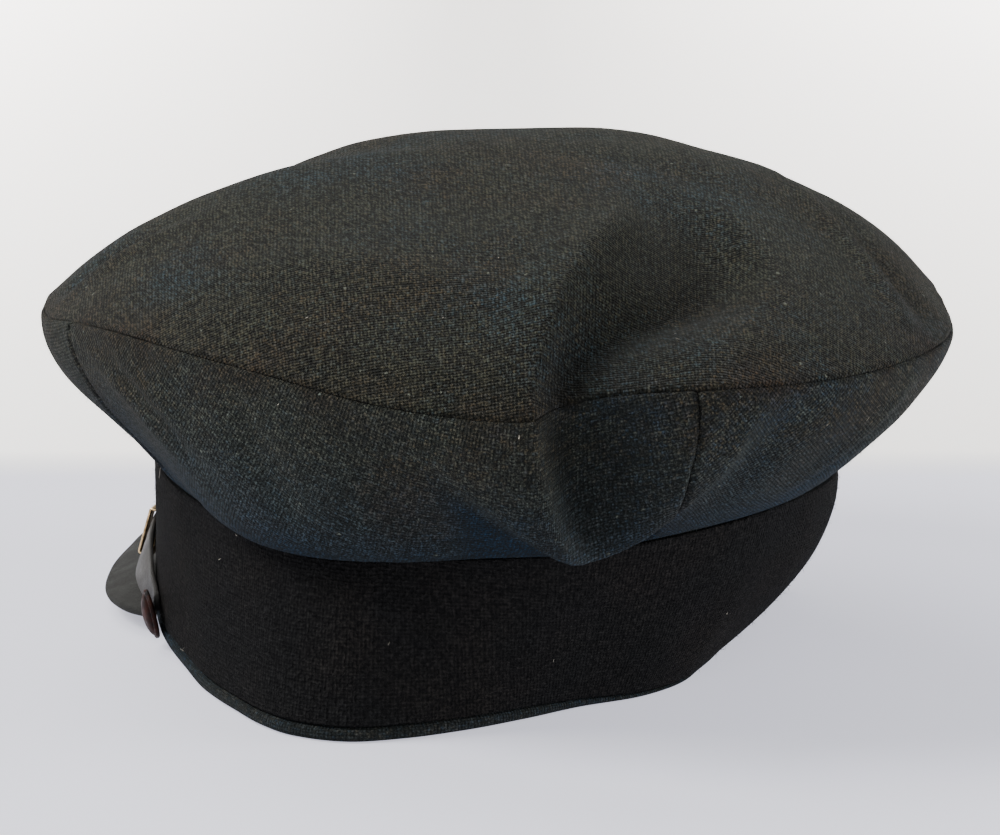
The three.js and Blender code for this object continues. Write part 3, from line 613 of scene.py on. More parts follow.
def hemDrop(angle, level):
    share = smooth(angle, hemTaper["from"], hemTaper["full"])
    share = share * (1 - smooth(angle, hemTaper["until"], hemTaper["end"]))
    below = np.clip(level / hemTaper["cover"], 0, 1)
    return share * hemTaper["drop"] * below * (1 - smooth(level, hemTaper["cover"], hemTaper["fadeTo"]))


# Ring round the head: rows of a section are (depth below the band's face, level)
def ringPoints(angle, section):
    rows = []
    for depth, level in section:
        levels = np.full_like(angle, level)
        levels = levels - hemDrop(angle, levels)
        normal = faceNormal(bandFace, angle, np.clip(levels, 2 * edgeInset, 1 - 2 * edgeInset))
        normal[..., 2] = 0
        rows.append(bandFace(angle, levels) - unit(normal) * depth)
    return np.array(rows)


# Half circle at the end of a wall: from outside to inside over the end
def roundedEnd(outside, inside, level, levelDepth, steps):
    turns = np.linspace(0, math.pi, steps + 1)
    middle = (outside + inside) / 2
    half = (inside - outside) / 2
    return [(middle - half * math.cos(t), level + levelDepth * math.sin(t)) for t in turns]


bandAngles = np.linspace(0, fullTurn, 541)  # every two thirds of a degree


def ringSheet(name, section, ripples):
    points = ringPoints(bandAngles, section)
    if ripples:
        normal = unit(outward(bandAngles))
        rough = ripple(points, ripples["wave"], ripples["seed"]) * ripples["depth"]
        points = points + normal[None] * rough[..., None]
        points[-1] = points[0]
    run = lengthsAlong(ringPoints(bandAngles, [(0, 0.5)]), 1)[0]
    slip = lengthsAlong(points, 0)
    weave = np.stack([np.broadcast_to(run, slip.shape), slip], -1) / mapUnit
    wearAndShade = np.zeros((*slip.shape, 4))
    wearAndShade[..., 1] = np.array(section)[:, 1:]
    sheet = sheetFromGrid(name, points, weave, wearAndShade, True)
    smoothed(sheet)
    return sheet


coverWeave = {
    "thickness": 1.5, "low": 0.084, "high": 0.985, "end": 0.014,
    "rows": 40, "insideRows": 6, "endSteps": 5,
    "ripples": {"wave": 16, "depth": 0.35, "seed": 31},
}


def makeCover(cover):
    deep = cover["thickness"]
    end = cover["end"]
    low = cover["low"] + end
    high = cover["high"] - end
    outside = [(0, level) for level in np.linspace(low, high, cover["rows"])]
    inside = [(deep, level) for level in np.linspace(high, low, cover["insideRows"])]
    top = roundedEnd(0, deep, high, end, cover["endSteps"])[1:-1]
    bottom = roundedEnd(0, deep, low, -end, cover["endSteps"])[::-1][1:]
    sheet = ringSheet("coverWeave", outside + top + inside + bottom, cover["ripples"])
    return kept(sheet, "band_weave", "band_cover")


bandCover = makeCover(coverWeave)
print("band cover", len(bandCover.data.polygons), "faces")


headbandWall = {
    "cover": 1.5, "clearance": 0.75, "thickness": 2.0,
    "hemTop": 0.075, "hemBack": 0.9, "hemProud": 0.25, "rows": 9,
    "foot": 0.004, "rim": 0.985, "corner": 0.5, "backLevels": (0.3, 0.55, 0.8),
    "footMiddle": (1.6, 0.002), "insideFoot": 0.02, "insideRows": 14,
}


def makeHeadband(wall):
    behind = wall["cover"] + wall["clearance"]
    inside = behind + wall["thickness"]
    roll = []
    for part in np.linspace(0, 1, wall["rows"]):
        bulge = math.sqrt(max(0, hump(part)))
        level = wall["foot"] + part * (wall["hemTop"] - wall["foot"])
        roll.append((wall["hemBack"] - (wall["hemBack"] + wall["hemProud"]) * bulge, level))
    backLevels = (wall["hemTop"] + wall["foot"], *wall["backLevels"], wall["rim"])
    back = [(behind, level) for level in backLevels]
    top = [(behind + wall["corner"], 1.0), (inside - wall["corner"], 1.0)]
    front = [(inside, level) for level in np.linspace(wall["rim"], wall["insideFoot"], wall["insideRows"])]
    foot = [(inside - wall["corner"], wall["foot"]), wall["footMiddle"], (wall["hemBack"], wall["foot"])]
    sheet = ringSheet("headbandCloth", roll + back + top + front + foot, None)
    return kept(sheet, "quarter_cloth", "headband")


headband = makeHeadband(headbandWall)
print("headband", len(headband.data.polygons), "faces")


# Loops of points along a path, closed across, with flat ends unless the path closes
def bodyFromLoops(name, loops, closedPath):
    closedLoops = np.concatenate([loops, loops[:, :1]], 1)
    run = lengthsAlong(loops.mean(1)[None], 1)[0]
    girth = lengthsAlong(closedLoops, 1)
    weave = np.stack([girth, np.broadcast_to(run[:, None], girth.shape)], -1) / mapUnit
    body = sheetFromGrid(name, closedLoops, weave, np.zeros((*girth.shape, 4)), True)
    if not closedPath:
        mesh = bmesh.new()
        mesh.from_mesh(body.data)
        rims = [edge for edge in mesh.edges if edge.is_boundary]
        bmesh.ops.holes_fill(mesh, edges=rims, sides=0)
        bmesh.ops.recalc_face_normals(mesh, faces=mesh.faces)
        mesh.to_mesh(body.data)
        mesh.free()
    smoothed(body)
    return body


peakLeaf = {
    "steps": 240, "thickness": 2.2, "rootRise": 3, "arch": 1, "archReach": 30,
    "gap": 0.32, "sections": 34, "edgeSteps": 8,
}
peakRows = tableOf("angle reach height", [
    (0, 54, 2.2), (10, 52, 2.4), (20, 44.5, 3.2), (31, 30.5, 4.2), (43, 21, 5.2),
    (54.7, 15, 5.8), (60, 12, 6.2), (65.6, 7.5, 6.6), (69.5, 2, 7),
])


def makePeak(leaf):
    angle = np.linspace(-peakRows["angle"][-1], peakRows["angle"][-1], leaf["steps"] + 1)
    root = bandFoot(angle) + outward(angle) * leaf["gap"]
    root[:, 2] += leaf["rootRise"]
    reach = along(peakRows, "angle", np.abs(angle), "reach")
    edge = root + outward(angle) * reach[:, None]
    edge[:, 2] = along(peakRows, "angle", np.abs(angle), "height")
    half = leaf["thickness"] / 2
    rows = []
    for part in np.linspace(0, 1, leaf["sections"]):
        arch = leaf["arch"] * hump(part) * np.minimum(1, reach / leaf["archReach"])
        shrunk = part * (1 - half / np.maximum(reach, 2 * half))
        rows.append(root + (edge - root) * shrunk[:, None] + up * arch[:, None])
    above = np.array(rows)
    rim = []
    for turn in np.linspace(0, math.pi, leaf["edgeSteps"] + 1)[1:-1]:
        ahead = outward(angle) * (half * math.sin(turn))
        rim.append(above[-1] + ahead - up * (half * (1 - math.cos(turn))))
    below = above[::-1] - up * leaf["thickness"]
    loops = np.concatenate([above, np.array(rim), below]).transpose(1, 0, 2)
    body = bodyFromLoops("peakLeather", loops, False)
    return kept(body, "peak_leather", "peak")


peak = makePeak(peakLeaf)


strapStrip = {
    "steps": 220, "endAngle": 75.5, "width": 10.5, "thickness": 1.3, "corner": 0.5, "cornerSteps": 4,
}
strapRows = tableOf("angle rise stand lean share", [
    (0, 11.4, 0.4, 0, 1), (30, 11.4, 0.8, 0, 1), (40, 11.4, 3, 11, 1),
    (48, 11.3, 3.7, 16, 1), (55, 11, 3.1, 21, 0.92), (61, 10.4, 2.5, 25, 0.85),
    (66, 9.7, 1.7, 17, 0.8), (70, 9.2, 0.9, 5, 0.7), (73, 9, 0.4, 0, 0.55),
    (75.5, 8.6, 0.4, 0, 0.4),
])


# Middle line of the strap, with the directions across its width and its thickness
def strapFrames(angle, thickness):
    foot = bandFoot(angle)
    wallHeight = bandRim(angle)[..., 2] - foot[..., 2]
    level = along(strapRows, "angle", np.abs(angle), "rise") / wallHeight
    normal = faceNormal(bandFace, angle, level)
    wide = unit(bandFace(angle, level + probe["level"]) - bandFace(angle, level - probe["level"]))
    stand = along(strapRows, "angle", np.abs(angle), "stand") + thickness / 2
    centre = bandFace(angle, level) + normal * stand[..., None]
    lean = np.radians(along(strapRows, "angle", np.abs(angle), "lean"))[..., None]
    leaning = normal * np.cos(lean) + wide * np.sin(lean)
    return centre, leaning, wide * np.cos(lean) - normal * np.sin(lean)


# Loop with rounded corners in its own plane: (wide, thick) pairs
def roundedRectangle(halfWide, halfThick, corner, steps):
    loop = []
    for cornerWide, cornerThick, start in ((1, 1, 0), (-1, 1, 90), (-1, -1, 180), (1, -1, 270)):
        for turn in np.radians(start + np.linspace(0, 90, steps + 1)):
            loop.append((cornerWide * (halfWide - corner) + corner * math.cos(turn),
                         cornerThick * (halfThick - corner) + corner * math.sin(turn)))
    return np.array(loop)


def makeStrap(strap):
    angle = np.linspace(-strap["endAngle"], strap["endAngle"], strap["steps"] + 1)
    centre, normal, wide = strapFrames(angle, strap["thickness"])
    section = roundedRectangle(strap["width"] / 2, strap["thickness"] / 2, strap["corner"],
                               strap["cornerSteps"])
    share = along(strapRows, "angle", np.abs(angle), "share")[:, None, None]
    loops = (centre[:, None] + wide[:, None] * section[None, :, :1] * share
             + normal[:, None] * section[None, :, 1:])
    body = bodyFromLoops("strapLeather", loops, False)
    return kept(body, "strap_leather", "chin_strap")


strap = makeStrap(strapStrip)


strapSlide = {
    "angle": 48, "length": 5, "wall": 0.7, "across": 0.75, "deep": 0.7, "corner": 0.25,
    "bend": 0.6, "bendSteps": 5, "cornerSteps": 3,
}


def makeSlide(name, node, angle, slide, strap):
    centre, normal, wide = strapFrames(np.array([float(angle)]), strap["thickness"])
    centre, normal, wide = centre[0], normal[0], wide[0]
    lengthwise = unit(np.cross(wide, normal))
    halfTall = strap["width"] / 2 + slide["across"] + slide["wall"] / 2
    halfDeep = strap["thickness"] / 2 + slide["deep"] + slide["wall"] / 2
    path = roundedRectangle(halfTall, halfDeep, slide["bend"], slide["bendSteps"])
    ahead = unit(np.roll(path, -1, 0) - np.roll(path, 1, 0))
    section = roundedRectangle(slide["length"] / 2, slide["wall"] / 2, slide["corner"],
                               slide["cornerSteps"])
    loops = []
    for (tall, deep), (aheadTall, aheadDeep) in zip(path, ahead):
        middle = centre + wide * tall + normal * deep
        out = wide * aheadDeep - normal * aheadTall
        loops.append([middle + lengthwise * long + out * thick for long, thick in section])
    loops = np.array(loops + loops[:1])
    body = bodyFromLoops(name, loops, True)
    return kept(body, "slide_brass", node)


slides = [
    makeSlide("slideLeft", "strap_slide_left", strapSlide["angle"], strapSlide, strapStrip),
    makeSlide("slideRight", "strap_slide_right", -strapSlide["angle"], strapSlide, strapStrip),
]
print("peak, strap and slides made")


sideButton = {
    "angle": 76.5, "radius": 6.5, "height": 3.0, "centreHeight": 9.2, "clear": 0.4, "tilt": 12,
    "sides": 96, "beads": 26, "beadDepth": 0.16, "beadFrom": 0.87, "beadAbove": 0.2, "beadMiddle": 0.6,
}
buttonRows = tableOf("radius height", [
    (0.90, 0), (0.97, 0.03), (1.0, 0.12), (1.0, 0.26), (0.975, 0.36), (0.93, 0.41), (0.885, 0.40),
    (0.86, 0.42), (0.84, 0.50), (0.78, 0.62), (0.68, 0.74), (0.55, 0.85), (0.4, 0.93),
    (0.24, 0.98), (0.1, 1.0),
])


def makeButton(name, node, angle, button):
    at = np.array([float(angle)])
    foot = bandFoot(at)
    level = (button["centreHeight"] - foot[:, 2]) / (bandRim(at)[:, 2] - foot[:, 2])
    normal = faceNormal(bandFace, at, level)[0]
    stand = along(strapRows, "angle", np.abs(at), "stand")[0] + strapStrip["thickness"] + button["clear"]
    place = bandFace(at, level)[0] + normal * stand
    radius = buttonRows["radius"] * button["radius"] * mm
    height = buttonRows["height"] * button["height"] * mm
    deselectAll()
    bpy.ops.mesh.primitive_circle_add(vertices=button["sides"], radius=radius[0], fill_type="NGON")
    body = bpy.context.object
    body.name = name
    bpy.ops.object.mode_set(mode="EDIT")
    bpy.ops.mesh.select_all(action="SELECT")
    for i in range(1, len(radius)):
        rise = height[i] - height[i - 1]
        bpy.ops.mesh.extrude_region_move(TRANSFORM_OT_translate={"value": (0, 0, rise)})
        grow = radius[i] / radius[i - 1]
        bpy.ops.transform.resize(value=(grow, grow, 1), center_override=(0, 0, height[i]))
    bpy.ops.object.mode_set(mode="OBJECT")
    for vertex in body.data.vertices:
        reach = math.hypot(vertex.co.x, vertex.co.y) / (button["radius"] * mm)
        turn = math.atan2(vertex.co.y, vertex.co.x)
        if reach > button["beadFrom"] and vertex.co.z > button["beadAbove"] * button["height"] * mm:
            bead = abs(math.sin(turn * button["beads"] / 2)) - button["beadMiddle"]
            vertex.co.z += bead * button["beadDepth"] * mm
    across = Vector(up).cross(Vector(normal)).normalized()
    normal = Matrix.Rotation(math.radians(button["tilt"]), 3, across) @ Vector(normal)
    turned = Matrix((across, normal.cross(across), normal)).transposed().to_4x4()
    turned.translation = Vector((place + capShift) * mm)
    body.data.transform(turned)
    mesh = bmesh.new()
    mesh.from_mesh(body.data)
    bmesh.ops.recalc_face_normals(mesh, faces=mesh.faces)
    mesh.to_mesh(body.data)
    mesh.free()
    for polygon in body.data.polygons:
        polygon.use_smooth = len(polygon.vertices) == 4
    return kept(body, "button_horn", node)


buttons = [
    makeButton("buttonLeft", "button_left", sideButton["angle"], sideButton),
    makeButton("buttonRight", "button_right", -sideButton["angle"], sideButton),
]
print("buttons made")


# Materials. A small set of helpers for node trees
def freshMaterial(name, **constants):
    material = bpy.data.materials.new(name)
    material.use_nodes = True
    shader = material.node_tree.nodes["Principled BSDF"]
    for socket, value in constants.items():
        shader.inputs[socket].default_value = value
    return material, material.node_tree, shader


def node(tree, kind, inputs=None, **settings):
    made = tree.nodes.new(kind)
    for key, value in settings.items():
        setattr(made, key, value)
    for key, value in (inputs or {}).items():
        if isinstance(value, bpy.types.NodeSocket):
            tree.links.new(value, made.inputs[key])
        else:
            made.inputs[key].default_value = value
    return made


def calc(tree, operation, first, second=0.0, clamp=False):
    made = node(tree, "ShaderNodeMath", {0: first, 1: second}, operation=operation)
    made.use_clamp = clamp
    return made.outputs[0]


def times(tree, first, *others, clamp=False):
    for other in others:
        first = calc(tree, "MULTIPLY", first, other, clamp)
    return first


def vectorMath(tree, operation, first, second):
    socket = "Scale" if operation == "SCALE" else 1
    made = node(tree, "ShaderNodeVectorMath", {0: first, socket: second}, operation=operation)
    return made.outputs["Value" if operation == "DOT_PRODUCT" else "Vector"]


def objectPlace(tree):
    return node(tree, "ShaderNodeTexCoord").outputs["Object"]


def roughen(tree, shader, relief, strength, distance):
    bump = node(tree, "ShaderNodeBump", {"Height": relief, "Strength": strength, "Distance": distance})
    tree.links.new(bump.outputs[0], shader.inputs["Normal"])


def mixed(tree, factor, first, second, clamp=True):
    made = node(tree, "ShaderNodeMix", {0: factor}, data_type="RGBA", clamp_factor=clamp)
    for socket, value in ((made.inputs[6], first), (made.inputs[7], second)):
        if isinstance(value, bpy.types.NodeSocket):
            tree.links.new(value, socket)
        else:
            socket.default_value = (*value, 1)
    return made.outputs[2]


def spread(tree, value, low, high, toLow=0.0, toHigh=1.0):
    made = node(tree, "ShaderNodeMapRange", {"Value": value, "From Min": low, "From Max": high,
                                             "To Min": toLow, "To Max": toHigh})
    return made.outputs[0]


def cloudy(tree, where, scale, detail=2.0, roughness=0.5):
    made = node(tree, "ShaderNodeTexNoise", {"Vector": where, "Scale": scale, "Detail": detail,
                                             "Roughness": roughness})
    return made.outputs["Fac"]


# Weave on the piece's own map: a float at each crossing of two sets of threads.
# Gives the floats' height, 0 to 1, the place on the cloth, and random values for each float
def weaveOf(tree, flat, pitch, wander):
    place = flat
    for scale, detail, share in ((11.0, 2.0, wander), (75.0, 1.0, wander * 0.22)):
        drift = node(tree, "ShaderNodeTexNoise", {"Vector": flat, "Scale": scale, "Detail": detail})
        moved = vectorMath(tree, "SUBTRACT", drift.outputs["Color"], (0.5, 0.5, 0.5))
        place = vectorMath(tree, "ADD", place, vectorMath(tree, "SCALE", moved, share / mapUnit))
    counted = vectorMath(tree, "SCALE", place, mapUnit / pitch)
    parts = node(tree, "ShaderNodeSeparateXYZ", {0: counted})
    waves = [calc(tree, "COSINE", times(tree, parts.outputs[i], 2 * math.pi)) for i in (0, 1)]
    height = spread(tree, calc(tree, "ADD", *waves), -2, 2)
    cell = vectorMath(tree, "FLOOR", vectorMath(tree, "ADD", counted, (0.5, 0.5, 0)), (0, 0, 0))
    floats = node(tree, "ShaderNodeTexWhiteNoise", {"Vector": cell}, noise_dimensions="3D")
    return height, place, floats


crownLook = {
    "pitch": 0.9, "wander": 0.7,
    "nap": (1.0, 0.3, 1.0),  # the nap is brushed from the front to the back
    "ground": (0.0036, 0.0038, 0.0030),
    "yarn": (0.0142, 0.0151, 0.0106), "tan": (0.0168, 0.0140, 0.0088),
    "blue": (0.0078, 0.0155, 0.0205), "rust": (0.0150, 0.0085, 0.0050),
    "pale": (0.032, 0.034, 0.027), "paleShare": 0.998, "blueAtBand": 0.0,
    "creaseShadeTone": 0.62, "seamTint": 0.65,
    "tuftLow": -0.05, "tuftHigh": 2.6, "fuzzLow": 0.3, "fuzzHigh": 1.9,
    "bump": 1.0, "bumpDepth": 0.00036, "tuftRelief": 2.4, "roughness": 0.92, "sheen": 0.027,
    "dotLow": 0.18, "dotHigh": 1.32, "tuftScale": 1150.0, "brightest": 2.8,
}
quarterLook = dict(crownLook)
# The side panels are the same cloth as the top: part of their brighter yarn is painted light, and their
# blue is the cloth's own less faded colour
quarterLook.update({
    "nap": (1.0, 1.0, 1.0), "pitch": 0.84, "wander": 0.9, "ground": (0.0054, 0.0061, 0.0057),
    "yarn": (0.0212, 0.0240, 0.0200), "tan": (0.0234, 0.0212, 0.0150), "dotLow": 0.34, "dotHigh": 1.2,
    "blue": (0.0074, 0.0150, 0.0245), "pale": (0.032, 0.036, 0.031), "blueAtBand": 1.0,
    "creaseShadeTone": 0.68, "tuftLow": 0.4, "tuftHigh": 1.65, "tuftRelief": 1.5, "sheen": 0.006,
})


def clothMaterial(name, look):
    material, tree, shader = freshMaterial(name, **{
        "Roughness": look["roughness"], "Sheen Weight": look["sheen"], "Sheen Roughness": 0.5,
        "Specular IOR Level": 0.05})
    flat = node(tree, "ShaderNodeUVMap", uv_map="weave").outputs[0]
    place = objectPlace(tree)
    # Attribute of seam wear, climb, painted shade under the pouch and painted shade in the fold
    wearAndShade = node(tree, "ShaderNodeAttribute", attribute_name="wearAndShade")
    nearSeam, climb, pouchShadeAndBlue = node(tree, "ShaderNodeSeparateColor", {0: wearAndShade.outputs["Color"]}).outputs
    height, moved, floats = weaveOf(tree, flat, look["pitch"], look["wander"])
    dots = spread(tree, calc(tree, "POWER", height, 1.8), 0, 1, look["dotLow"], look["dotHigh"])
    uneven = spread(tree, floats.outputs["Value"], 0, 1, 0.45, 1.55)
    streaks = node(tree, "ShaderNodeMapping", {"Vector": moved, "Scale": (7.0, 120.0, 1.0)})
    slub = spread(tree, cloudy(tree, streaks.outputs[0], 1.0, 1.0), 0.3, 0.7, 0.7, 1.3)
    # Loose wool over the weave: coarse and fine tufts that stay visible at a slant
    brushed = node(tree, "ShaderNodeMapping", {"Vector": place, "Scale": look["nap"]}).outputs[0]
    tufts = cloudy(tree, brushed, look["tuftScale"], 2.0, 0.7)
    tuft = spread(tree, tufts, 0.38, 0.62, look["tuftLow"], look["tuftHigh"])
    fuzz = spread(tree, cloudy(tree, brushed, 2300.0, 1.0), 0.36, 0.64, look["fuzzLow"], look["fuzzHigh"])
    light = times(tree, dots, uneven, slub, times(tree, tuft, fuzz))
    brown = spread(tree, cloudy(tree, place, 28.0, 3.0, 0.6), 0.44, 0.68)
    cool = spread(tree, cloudy(tree, place, 19.0, 3.0, 0.55), 0.45, 0.7)
    chance, brownChance, coolChance = node(
        tree, "ShaderNodeSeparateColor", {0: floats.outputs["Color"]}).outputs
    brown = calc(tree, "ADD", brown, spread(tree, brownChance, 0, 1, -0.5, 0.5), clamp=True)
    yarn = mixed(tree, brown, look["yarn"], look["tan"])
    cool = calc(tree, "ADD", cool, spread(tree, coolChance, 0, 1, -0.5, 0.4), clamp=True)
    yarn = mixed(tree, times(tree, cool, 0.7), yarn, look["blue"])
    if look["blueAtBand"]:
        patch = spread(tree, cloudy(tree, place, 40.0, 2.0), 0.3, 0.7, 0.5, 1.2)
        low = times(tree, spread(tree, climb, 0.75, 0.1), patch)
        low = calc(tree, "MAXIMUM", low, pouchShadeAndBlue)
        yarn = mixed(tree, times(tree, low, look["blueAtBand"], clamp=True), yarn, look["blue"])
        # Painted shade: the cloth under the pouch's lower edge is darkened
        light = times(tree, light, spread(tree, pouchShadeAndBlue, 0, 1, 1, 0.75))
    # Painted shade: the cloth is darkened in the deep fold
    light = times(tree, light, spread(tree, wearAndShade.outputs["Alpha"], 0.04, 0.6, 1, look["creaseShadeTone"]))
    seamTint = spread(tree, cloudy(tree, place, 70.0), 0.35, 0.7)
    yarn = mixed(tree, times(tree, nearSeam, seamTint, look["seamTint"], clamp=True), yarn, look["rust"])
    yarn = mixed(tree, calc(tree, "GREATER_THAN", chance, look["paleShare"]), yarn, look["pale"])
    colour = mixed(tree, calc(tree, "MINIMUM", light, look["brightest"]), look["ground"], yarn, clamp=False)
    tree.links.new(colour, shader.inputs["Base Color"])
    relief = calc(tree, "ADD", height, times(tree, cloudy(tree, moved, 190.0, 2.0), 0.9))
    relief = calc(tree, "ADD", relief, times(tree, tufts, look["tuftRelief"]))
    roughen(tree, shader, relief, look["bump"], look["bumpDepth"])
    return material


bandLook = {
    "pitch": 0.95, "wander": 1.1,
    "ground": (0.0032, 0.0032, 0.0034), "yarn": (0.0078, 0.0078, 0.0079),
    "brown": (0.0098, 0.0089, 0.0083),
    "bump": 1.0, "bumpDepth": 0.00034, "tuftRelief": 4.0, "roughness": 0.95, "brightest": 2.6,
}


def bandMaterial(name, look):
    material, tree, shader = freshMaterial(name, **{
        "Roughness": look["roughness"], "Specular IOR Level": 0.03})
    flat = node(tree, "ShaderNodeUVMap", uv_map="weave").outputs[0]
    place = objectPlace(tree)
    height, _, floats = weaveOf(tree, flat, look["pitch"], look["wander"])
    uneven = spread(tree, floats.outputs["Value"], 0, 1, 0.5, 1.3)
    tufts = cloudy(tree, place, 1000.0, 2.0, 0.7)
    tuft = spread(tree, tufts, 0.38, 0.62, 0.3, 1.85)
    light = times(tree, spread(tree, height, 0, 1, 0.35, 1.1), times(tree, uneven, tuft))
    yarn = mixed(tree, spread(tree, cloudy(tree, place, 35.0, 3.0), 0.4, 0.7), look["yarn"], look["brown"])
    colour = mixed(tree, calc(tree, "MINIMUM", light, look["brightest"]), look["ground"], yarn, clamp=False)
    tree.links.new(colour, shader.inputs["Base Color"])
    relief = calc(tree, "ADD", height, times(tree, tufts, look["tuftRelief"]))
    roughen(tree, shader, relief, look["bump"], look["bumpDepth"])
    return material


peakLook = {
    "base": (0.0165, 0.0165, 0.0148), "dark": (0.0105, 0.0105, 0.0094),
    "roughness": 0.75, "grain": 1500.0, "bumpDepth": 0.00026, "coat": 0.0,
}
strapLook = {
    "base": (0.030, 0.028, 0.026), "dark": (0.009, 0.0082, 0.0075),
    "roughness": 0.5, "grain": 900.0, "bumpDepth": 0.00006, "coat": 0.04,
}


def leatherMaterial(name, look):
    material, tree, shader = freshMaterial(name, **{
        "Specular IOR Level": 0.14, "Coat Weight": look["coat"], "Coat Roughness": 0.35})
    place = objectPlace(tree)
    cells = node(tree, "ShaderNodeTexVoronoi", {"Vector": place, "Scale": look["grain"]},
                 feature="DISTANCE_TO_EDGE")
    crease = spread(tree, cells.outputs["Distance"], 0.0, 0.12)
    worn = spread(tree, cloudy(tree, place, 60.0, 4.0, 0.6), 0.3, 0.7)
    colour = mixed(tree, worn, look["dark"], look["base"])
    colour = mixed(tree, spread(tree, crease, 0, 1, 0.35, 0.0), colour, look["dark"])
    tree.links.new(colour, shader.inputs["Base Color"])
    rubbed, dull = look["roughness"] - 0.08, look["roughness"] + 0.1
    tree.links.new(spread(tree, cloudy(tree, place, 180.0, 3.0), 0.3, 0.7, rubbed, dull),
                   shader.inputs["Roughness"])
    relief = calc(tree, "ADD", crease, cloudy(tree, place, 900.0, 2.0))
    roughen(tree, shader, relief, 0.7, look["bumpDepth"])
    return material


slideLook = {
    "bright": (0.62, 0.45, 0.24), "tarnished": (0.16, 0.10, 0.05), "polish": 0.22, "dull": 0.55,
}


def metalMaterial(name, look):
    material, tree, shader = freshMaterial(name, Metallic=1.0)
    tarnish = spread(tree, cloudy(tree, objectPlace(tree), 500.0, 4.0, 0.7), 0.4, 0.7)
    colour = mixed(tree, tarnish, look["bright"], look["tarnished"])
    tree.links.new(colour, shader.inputs["Base Color"])
    tree.links.new(spread(tree, tarnish, 0, 1, look["polish"], look["dull"]), shader.inputs["Roughness"])
    return material


buttonLook = {
    "dark": (0.0030, 0.0022, 0.0020), "red": (0.030, 0.0070, 0.0036), "polish": 0.32, "dull": 0.6,
}


def buttonMaterial(name, look):
    material, tree, shader = freshMaterial(name, **{"Specular IOR Level": 0.04})
    place = objectPlace(tree)
    cloud = spread(tree, cloudy(tree, place, 220.0, 4.0, 0.6), 0.35, 0.7)
    colour = mixed(tree, cloud, look["dark"], look["red"])
    tree.links.new(colour, shader.inputs["Base Color"])
    roughness = spread(tree, cloudy(tree, place, 700.0, 3.0), 0.3, 0.7, look["polish"], look["dull"])
    tree.links.new(roughness, shader.inputs["Roughness"])
    return material


def dress(piece, material):
    piece.data.materials.clear()
    piece.data.materials.append(material)


quarterFinish = clothMaterial("quarterCloth", quarterLook)
dress(crownTop, clothMaterial("crownCloth", crownLook))
for piece in quarters:
    dress(piece, quarterFinish)
hemLook = dict(quarterLook)
hemLook.update({"blueAtBand": 0.25, "yarn": (0.0122, 0.0138, 0.0124), "tuftHigh": 1.4})
dress(headband, clothMaterial("hemCloth", hemLook))
dress(bandCover, bandMaterial("bandWeave", bandLook))
dress(peak, leatherMaterial("peakLeather", peakLook))
dress(strap, leatherMaterial("strapLeather", strapLook))
slideFinish = metalMaterial("slideBrass", slideLook)
buttonFinish = buttonMaterial("buttonHorn", buttonLook)
for piece in slides:
    dress(piece, slideFinish)
for piece in buttons:
    dress(piece, buttonFinish)
print("materials made")


# Loose wool and lint: thin three-sided threads joined to the cloth that they lie on
looseWool = {
    "sides": 3, "segments": 4, "root": 0.15, "taper": 0.35, "curl": 0.5,
    "curlUp": 0.5, "curlAside": 0.35, "leastLift": 0.1, "lintRise": 2, "lintLift": 0.25,
    "crown": {"count": 2000, "length": (0.8, 2.0), "radius": 0.036, "lift": 0.7},
    "quarter": {"count": 1100, "length": (0.8, 1.9), "radius": 0.036, "lift": 0.7},
    "band": {"count": 4200, "length": (0.7, 2.1), "radius": 0.05, "lift": 0.8},
}


def threadsFrom(roots, normals, headings, lengths, radii, curls):
    sides, segments = looseWool["sides"], looseWool["segments"]
    axis = unit(np.cross(headings, normals))
    across = unit(np.cross(axis, headings))
    rings = []
    place = roots - normals * looseWool["root"]
    heading = headings
    for step in range(segments + 1):
        size = radii * (1 - (1 - looseWool["taper"]) * step / segments)
        for side in range(sides):
            turn = 2 * math.pi * side / sides
            rings.append(place + (axis * math.cos(turn) + across * math.sin(turn)) * size[:, None])
        upward = across * curls[:, None] * looseWool["curlUp"]
        aside = axis * curls[:, None] * looseWool["curlAside"]
        heading = unit(heading + upward + aside)
        place = place + heading * (lengths / segments)[:, None]
    points = np.array(rings).transpose(1, 0, 2).reshape(-1, 3)
    faces = []
    for step in range(segments):
        for side in range(sides):
            here, beside = step * sides + side, step * sides + (side + 1) % sides
            faces.append((here, beside, beside + sides, here + sides))
    last = segments * sides
    caps = [(0, 2, 1), (last, last + 1, last + 2)]
    size = (segments + 1) * sides
    every = []
    for index in range(len(roots)):
        every += [tuple(corner + index * size for corner in face) for face in faces + caps]
    return points, every


# Random places on the outside of a piece
def placesOn(piece, count, chooser):
    polygons = [p for p in piece.data.polygons if p.normal.dot(p.center - capMiddle) > 0]
    chosen = chooser.choices(polygons, weights=[p.area for p in polygons], k=count)
    vertices = piece.data.vertices
    places = []
    for polygon in chosen:
        shares = [chooser.random() + 0.05 for corner in polygon.vertices]
        total = sum(shares)
        where = Vector((0, 0, 0))
        for corner, share in zip(polygon.vertices, shares):
            where += vertices[corner].co * (share / total)
        places.append(where)
    return np.array(places), np.array([p.normal for p in chosen])


def addThreads(piece, points, faces, finish):
    mesh = bpy.data.meshes.new(piece.name + "Threads")
    mesh.from_pydata([tuple(p) for p in points], [], faces)
    mesh.update()
    threads = bpy.data.objects.new(mesh.name, mesh)
    bpy.context.scene.collection.objects.link(threads)
    dress(threads, finish)
    deselectAll()
    threads.select_set(True)
    piece.select_set(True)
    bpy.context.view_layer.objects.active = piece
    bpy.ops.object.join()


